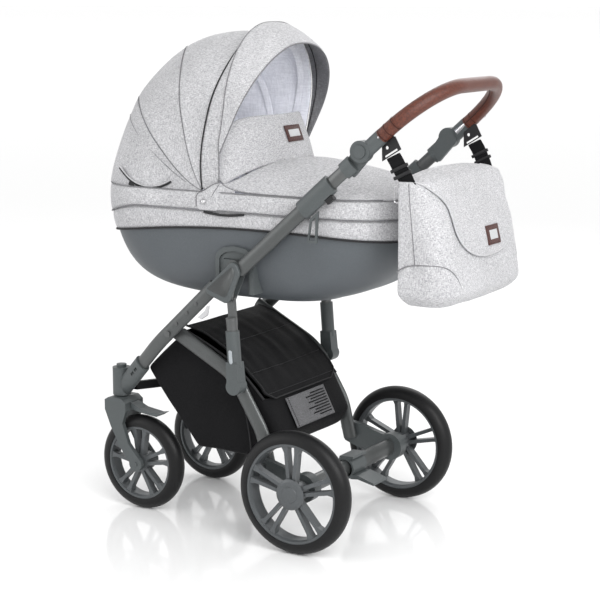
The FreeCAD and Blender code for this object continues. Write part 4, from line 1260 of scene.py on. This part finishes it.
    def side_seams(self, name: str, side: int) -> None:
        """The gusset seam and the curved seam of the bottom corner patch."""
        # Both seams are drawn in the painted seam shade, darker lines for the shade in their
        # grooves.
        top = [self.outline_point(side, mix(27, 46, n / 12), mix(self.top - 4, 708, n / 12))
               for n in range(13)]
        line("seam_gusset_" + name, top, 1.0, Trim.PAINTED_SEAM_SHADE, Slot.GREY_CLOTH, "bag")
        arc = ((0, 690), (14, 702), (40, 709), (75, 711), (105, 710), (130, 702), (152, 682),
               (168, 662), (177, 645))
        curve = [self.outline_point(side, way, z) for way, z in arc]
        line("seam_corner_" + name, curve, 1.3, Trim.PAINTED_SEAM_SHADE, Slot.GREY_CLOTH, "bag")


# ---------------------------------------------------------------- basket


@dataclass
class Basket:
    """The shopping basket: a soft black box under a quilted lid."""

    half: float = 178.0

    def outline(self) -> tuple[tuple[float, float], ...]:
        """The basket's corners seen from the side."""
        return ((-498, 379), (-379, 488), (-277, 448), (-192, 388), (-145, 337),
                (-100, 250), (-130, 205), (-200, 190), (-343, 190))

    def build(self) -> None:
        """Make the basket, its lid and its patch."""
        bm = bmesh.new()
        verts = [bm.verts.new(at(x, -self.half, z)) for x, z in self.outline()]
        face = bm.faces.new(verts)
        made = bmesh.ops.extrude_face_region(bm, geom=[face])
        moved = [v for v in made["geom"] if isinstance(v, bmesh.types.BMVert)]
        bmesh.ops.translate(bm, verts=moved, vec=Vector((0, 2 * self.half * MM, 0)))
        bmesh.ops.recalc_face_normals(bm, faces=bm.faces)
        mouth = [f for f in bm.faces
                 if f.normal.z > 0.5 and f.normal.x > 0 and abs(f.normal.y) < 0.1]
        bmesh.ops.delete(bm, geom=mouth, context="FACES")
        bmesh.ops.bevel(bm, geom=[e for e in bm.edges if not e.is_boundary],
                        offset=14 * MM, offset_type="OFFSET", affect="EDGES", segments=3,
                        profile=0.5, material=-1)
        bmesh.ops.triangulate(bm, faces=[f for f in bm.faces if len(f.verts) > 4])
        for _ in range(3):
            wide = [e for e in bm.edges if e.calc_length() > 0.03]
            bmesh.ops.subdivide_edges(bm, edges=wide, cuts=1, use_grid_fill=True)
        bm.normal_update()
        low, high = at(-498, -self.half, 190), at(-100, self.half, 488)
        for vert in bm.verts:
            x = (vert.co.x - low.x) / (high.x - low.x)
            z = (vert.co.z - low.z) / (high.z - low.z)
            if vert.is_boundary:
                continue
            puff = math.sin(math.pi * min(1, max(0, x))) * math.sin(math.pi * min(1, max(0, z)))
            fold = noise.noise(Vector((vert.co.x * 16, vert.co.y * 9, vert.co.z * 3)))
            vert.co += vert.normal * ((3.5 * puff + 2.6 * fold) * MM)
        shell = settle("basket_shell", bm, (Slot.BLACK_CLOTH, Slot.BLACK_CLOTH),
                       Slot.BLACK_CLOTH, "chassis", 3.0)
        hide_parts("basket")
        self.lid()
        self.trims()

    def lid_line(self, run: float) -> tuple[float, float]:
        """The lid's X and Z at a share of its length from the front."""
        path = ((-381, 495), (-330, 481), (-276, 456), (-232, 427), (-190, 393), (-160, 361),
                (-138, 330))
        number = min(int(run * 6), 5)
        part = run * 6 - number
        return (mix(path[number][0], path[number + 1][0], part),
                mix(path[number][1], path[number + 1][1], part))

    def lid_point(self, u: float, v: float, lift: float = 0.0) -> Vector:
        """A point of the lid from its front edge to its rear edge and across it."""
        across = mix(-1.0, 1.0, v)
        round_off = 1 - 0.16 * ramp(u, 0.9, 1.0) - 0.04 * ramp(u, 0.98, 1.0)
        y = across * 171 * round_off
        x, z = self.lid_line(u)
        quilt = abs(math.sin(u * math.pi * 3)) ** 0.6 * 3.0
        crease = noise.noise(Vector((y * 0.035, u * 2.2, 4.0))) * 3.4 * math.sin(math.pi * u)
        hang = 5 * (1 - across ** 2) * math.sin(math.pi * u)
        rise = quilt + crease + lift + 3.0 - hang
        return at(x + rise * 0.6, y, z + rise * 0.75)

    def lid(self) -> None:
        """The quilted lid with its bound edge."""
        bm = grid(60, 64, self.lid_point, at(-300, 0, 300), 1.2)
        lid = settle("basket_lid_cloth", bm, (Slot.BLACK_CLOTH, Slot.BLACK_CLOTH),
                     Slot.BLACK_CLOTH, "basket_lid", 3.0)
        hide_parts("basket_lid")
        edge = [self.lid_point(n / 40, 0.012, 1.6) for n in range(41)]
        edge += [self.lid_point(0.995, n / 20, 1.6) for n in range(1, 20)]
        edge += [self.lid_point(1 - n / 40, 0.988, 1.6) for n in range(41)]
        line("lid_binding", edge, 1.6, Slot.PIPING, Slot.BLACK_CLOTH, "basket_lid")
        for number, run in enumerate((0.335, 0.665, 0.93)):
            row = [self.lid_point(run, mix(0.03, 0.97, n / 150), 0.8) for n in range(151)]
            stitches("lid_stitches_%d" % number, row, 0.6, Trim.THREAD, Slot.BLACK_CLOTH,
                     "basket_lid")

    def trims(self) -> None:
        """The net patch with plain bars, and the bound upper edges."""
        foot, head = Vector((-100, 0, 250)), Vector((-145, 0, 337))
        up = (head - foot).normalized()
        out = Vector((up.z, 0, -up.x))

        def place(u: float, v: float) -> Vector:
            spot = foot + (head - foot) * mix(0.03, 0.84, v) + out * 6.5
            return at(spot.x, mix(-96, 88, u), spot.z)

        inside = at(-250, 0, 300)
        bm = grid(24, 12, place, inside)
        settle("basket_patch", bm, [Trim.PATCH], Slot.BLACK_CLOTH, "chassis", 1.2, rounds=0)
        bars = bmesh.new()
        for number in range(9):
            share = 0.14 + number * 0.092
            length = (60, 84, 70, 96, 64, 88, 74, 92, 66)[number]
            spot = place((176 - length / 2) / 184, share)
            across = facing(spot + Vector((out.x, 0, out.z)) * 0.9 * MM, Vector((0, 1, 0)),
                            Vector((up.x, 0, up.z)))
            rounded_block(bars, across, (length, 3.2, 1.2), 0.4)
        for number in range(15):
            spot = place(0.05, 0.04 + number * 0.066) + out * 0.9 * MM
            rounded_block(bars, facing(spot, Vector((0, 1, 0)), up), (3.5, 2.6, 1.2), 0.4)
        settle("basket_patch_bars", bars, [Slot.BLACK_CLOTH], Slot.BLACK_CLOTH, "chassis",
               rounds=0)
        for name, side in SIDES.items():
            edge = [at(x, side * (self.half - 1), z + 1)
                    for x, z in self.outline()[1:5]]
            line("basket_edge_" + name, edge, 3.2, Slot.PIPING, Slot.BLACK_CLOTH, "chassis")
            web = [at(x, side * (self.half + 1.5), z) for x, z in
                   ((-379, 486), (-300, 440), (-230, 372), (-188, 300), (-178, 196))]
            line("basket_web_" + name, web, 2.4, Slot.PIPING, Slot.BLACK_CLOTH, "chassis")


# ---------------------------------------------------------------- handle


@dataclass
class Handle:
    """Trims of the push handle and the struts."""

    slope: float = 41.4
    half: float = 220.5
    bend: float = 150.0
    crossbar: float = 322.0
    radius: float = 17.0

    def along(self, x: float, y: float, lift: float = 0.0) -> Vector:
        """A point beside the handle's centre line, lift millimetres above it."""
        turn = math.radians(self.slope)
        reach = (x + 190) / math.cos(turn)
        return at(-190 + reach * math.cos(turn) - lift * math.sin(turn), y,
                  653 + reach * math.sin(turn) + lift * math.cos(turn))

    def grip_line(self, start: float, step: float, inset: float) -> list[Vector]:
        """Points along the inside of the grip's U."""
        turn = math.radians(self.slope)
        reach = (self.crossbar - start) / math.cos(turn)
        straight = reach - self.bend
        arc = (self.bend - inset) * math.pi / 2
        flat = 2 * (self.half - self.bend)
        total = 2 * (straight + arc) + flat
        points = []
        count = int(total / step)
        for number in range(count + 1):
            way = total * number / count
            mirror = way > total / 2
            if mirror:
                way = total - way
            if way < straight:
                forward, y = way, self.half - inset
            elif way < straight + arc:
                angle = (way - straight) / (self.bend - inset)
                forward = straight + (self.bend - inset) * math.sin(angle)
                y = self.half - self.bend + (self.bend - inset) * math.cos(angle)
            else:
                forward = straight + self.bend - inset
                y = self.half - self.bend - (way - straight - arc)
            y = y if mirror else -y
            points.append(self.along(start + forward * math.cos(turn), y))
        return points

    def build(self) -> None:
        """Make the grip's seam, its bands and the struts' stickers."""
        run = self.grip_line(202, 3.2, self.radius + 0.1)
        line("grip_seam", run, 1.0, Trim.LEATHER_THREAD, Slot.LEATHER, "handle_upper")
        stitches("grip_stitches", run, 1.5, Trim.LEATHER_THREAD, Slot.LEATHER, "handle_upper",
                 gap=2)
        bm = bmesh.new()
        turn = Matrix.Rotation(math.radians(90 - self.slope), 4, "Y")
        for side in SIDES.values():
            for x in (202, 216, 234):
                spot = self.along(x, side * self.half)
                bmesh.ops.create_cone(bm, cap_ends=False, segments=40,
                                      radius1=(self.radius + 0.5) * MM,
                                      radius2=(self.radius + 0.5) * MM, depth=2 * MM,
                                      matrix=Matrix.Translation(spot) @ turn)
        settle("grip_bands", bm, [Trim.LEATHER_THREAD], Slot.LEATHER, "handle_upper",
               rounds=0)
        for name, side in SIDES.items():
            self.strut_badge(name, side)
            self.hub_panel(name, side)

    def hub_panel(self, name: str, side: int) -> None:
        """The raised panel on a hub's cover."""
        corners = ((-190, 672), (-183, 654), (-209, 594), (-264, 612))
        bm = bmesh.new()
        verts = [bm.verts.new(at(x, side * 242.2, z)) for x, z in corners]
        made = bmesh.ops.extrude_face_region(bm, geom=[bm.faces.new(verts)])
        moved = [v for v in made["geom"] if isinstance(v, bmesh.types.BMVert)]
        bmesh.ops.translate(bm, verts=moved, vec=Vector((0, side * 1.6 * MM, 0)))
        across = [e for e in bm.edges
                  if abs(e.verts[0].co.y - e.verts[1].co.y) > 1.5 * MM]
        bmesh.ops.bevel(bm, geom=across, offset=7 * MM, offset_type="OFFSET", affect="EDGES",
                        segments=5, profile=0.5, material=-1)
        bmesh.ops.recalc_face_normals(bm, faces=bm.faces)
        settle("hub_panel_" + name, bm, [Slot.FRAME], Slot.CASTING, "chassis", rounds=0)

    def strut_badge(self, name: str, side: int) -> None:
        """A blank oval sticker on a strut's sleeve."""
        low, high = Vector((-192, 0, 376)), Vector((-209, 0, 592))
        up = (high - low).normalized()
        middle = low + up * 74

        def place(u: float, v: float) -> Vector:
            x, y = plan_point(u, -5.2, 5.2, 17, 5.1)
            reach = v * 1.0
            turn = x * reach / 17.4
            spot = middle + up * (y * reach)
            return at(spot.x + 17.4 * math.sin(turn), side * (225 + 17.4 * math.cos(turn)),
                      spot.z)

        bm = grid(48, 5, place, at(-200, side * 200, 450))
        settle("strut_sticker_" + name, bm, [Trim.FOIL], Slot.STEEL, "strut_sleeves", 0.4,
               rounds=0)


# ---------------------------------------------------------------- studio


@dataclass
class Studio:
    """The pale floor, the lights and the camera."""

    turn: float = 31.12
    tilt: float = 10.77

    def build(self) -> None:
        """Make the floor, the sky, the lights and the camera."""
        bm = bmesh.new()
        bmesh.ops.create_grid(bm, x_segments=4, y_segments=4, size=300.0)
        mesh = bpy.data.meshes.new("floor")
        bm.to_mesh(mesh)
        bm.free()
        floor = bpy.data.objects.new("floor", mesh)
        material = bpy.data.materials.new("floor_white")
        material.use_nodes = True
        shader = material.node_tree.nodes["Principled BSDF"]
        shader.inputs["Base Color"].default_value = (0.93, 0.93, 0.93, 1)
        shader.inputs["Roughness"].default_value = 0.1
        shader.inputs["Specular IOR Level"].default_value = 0.4
        mesh.materials.append(material)
        bpy.context.scene.collection.objects.link(floor)
        self.sky()
        self.lamp("key", (3.0, -2.6, 3.4), 2.6, 110)
        self.lamp("front", (2.3, -1.0, 1.5), 1.0, 22)
        self.lamp("hood", (-0.14, -0.04, 1.15), 0.12, 0.27, (-0.5, 0.08, 1.02))
        self.lamp("fill", (-3.0, -3.0, 1.8), 2.4, 34)
        self.lamp("back", (-0.6, 3.4, 3.2), 2.6, 45)
        self.camera()

    def sky(self) -> None:
        """Light that is brightest at the horizon."""
        world = bpy.data.worlds.new("studio")
        bpy.context.scene.world = world
        world.use_nodes = True
        graph = Graph(world.node_tree)
        place = graph.add("ShaderNodeTexCoord")
        split = graph.add("ShaderNodeSeparateXYZ")
        graph.join(place.outputs["Generated"], split.inputs[0])
        light = graph.add("ShaderNodeBackground")
        graph.join(graph.spread(split.outputs["Z"], 0.1, 0.95, 1.08, 0.85),
                   light.inputs["Strength"])
        light.inputs["Color"].default_value = (1, 1, 1, 1)
        out = graph.add("ShaderNodeOutputWorld")
        graph.join(light.outputs[0], out.inputs["Surface"])

    def lamp(self, name: str, place: Sequence[float], size: float, power: float,
             target: Sequence[float] = (0, 0, 0.6)) -> None:
        """A square soft lamp.

        Args:
            name: The lamp's name.
            place: Where it stands, in metres.
            size: Its side in metres.
            power: Its power in watts.
            target: The point it looks at.
        """
        light = bpy.data.lights.new(name, "AREA")
        light.energy = power
        light.size = size
        lamp = bpy.data.objects.new(name, light)
        lamp.location = place
        aim = Vector(target) - Vector(place)
        lamp.rotation_euler = aim.to_track_quat("-Z", "Y").to_euler()
        lamp.visible_camera = False
        bpy.context.scene.collection.objects.link(lamp)

    def camera(self) -> None:
        """The camera, low and in front of the left side's middle."""
        camera = bpy.data.cameras.new("camera")
        camera.sensor_width = 36
        camera.lens = 98.88
        camera.shift_y = 0.0223
        camera.clip_end = 1000
        eye = bpy.data.objects.new("camera", camera)
        eye.location = at(1949.79, -3474.72, 1295.17)
        eye.rotation_euler = (math.radians(90 - self.tilt), 0, math.radians(self.turn))
        bpy.context.scene.collection.objects.link(eye)
        bpy.context.scene.camera = eye
        bpy.context.scene.view_settings.view_transform = "Standard"


def main() -> None:
    """Build everything in order."""
    logging.basicConfig(level=logging.INFO, format="%(name)s %(message)s")
    Studio().build()
    Stroller().dress()
    Hood().build()
    Carrycot().build()
    Bag().build()
    Basket().build()
    Handle().build()
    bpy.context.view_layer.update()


if __name__ == "__main__":
    main()
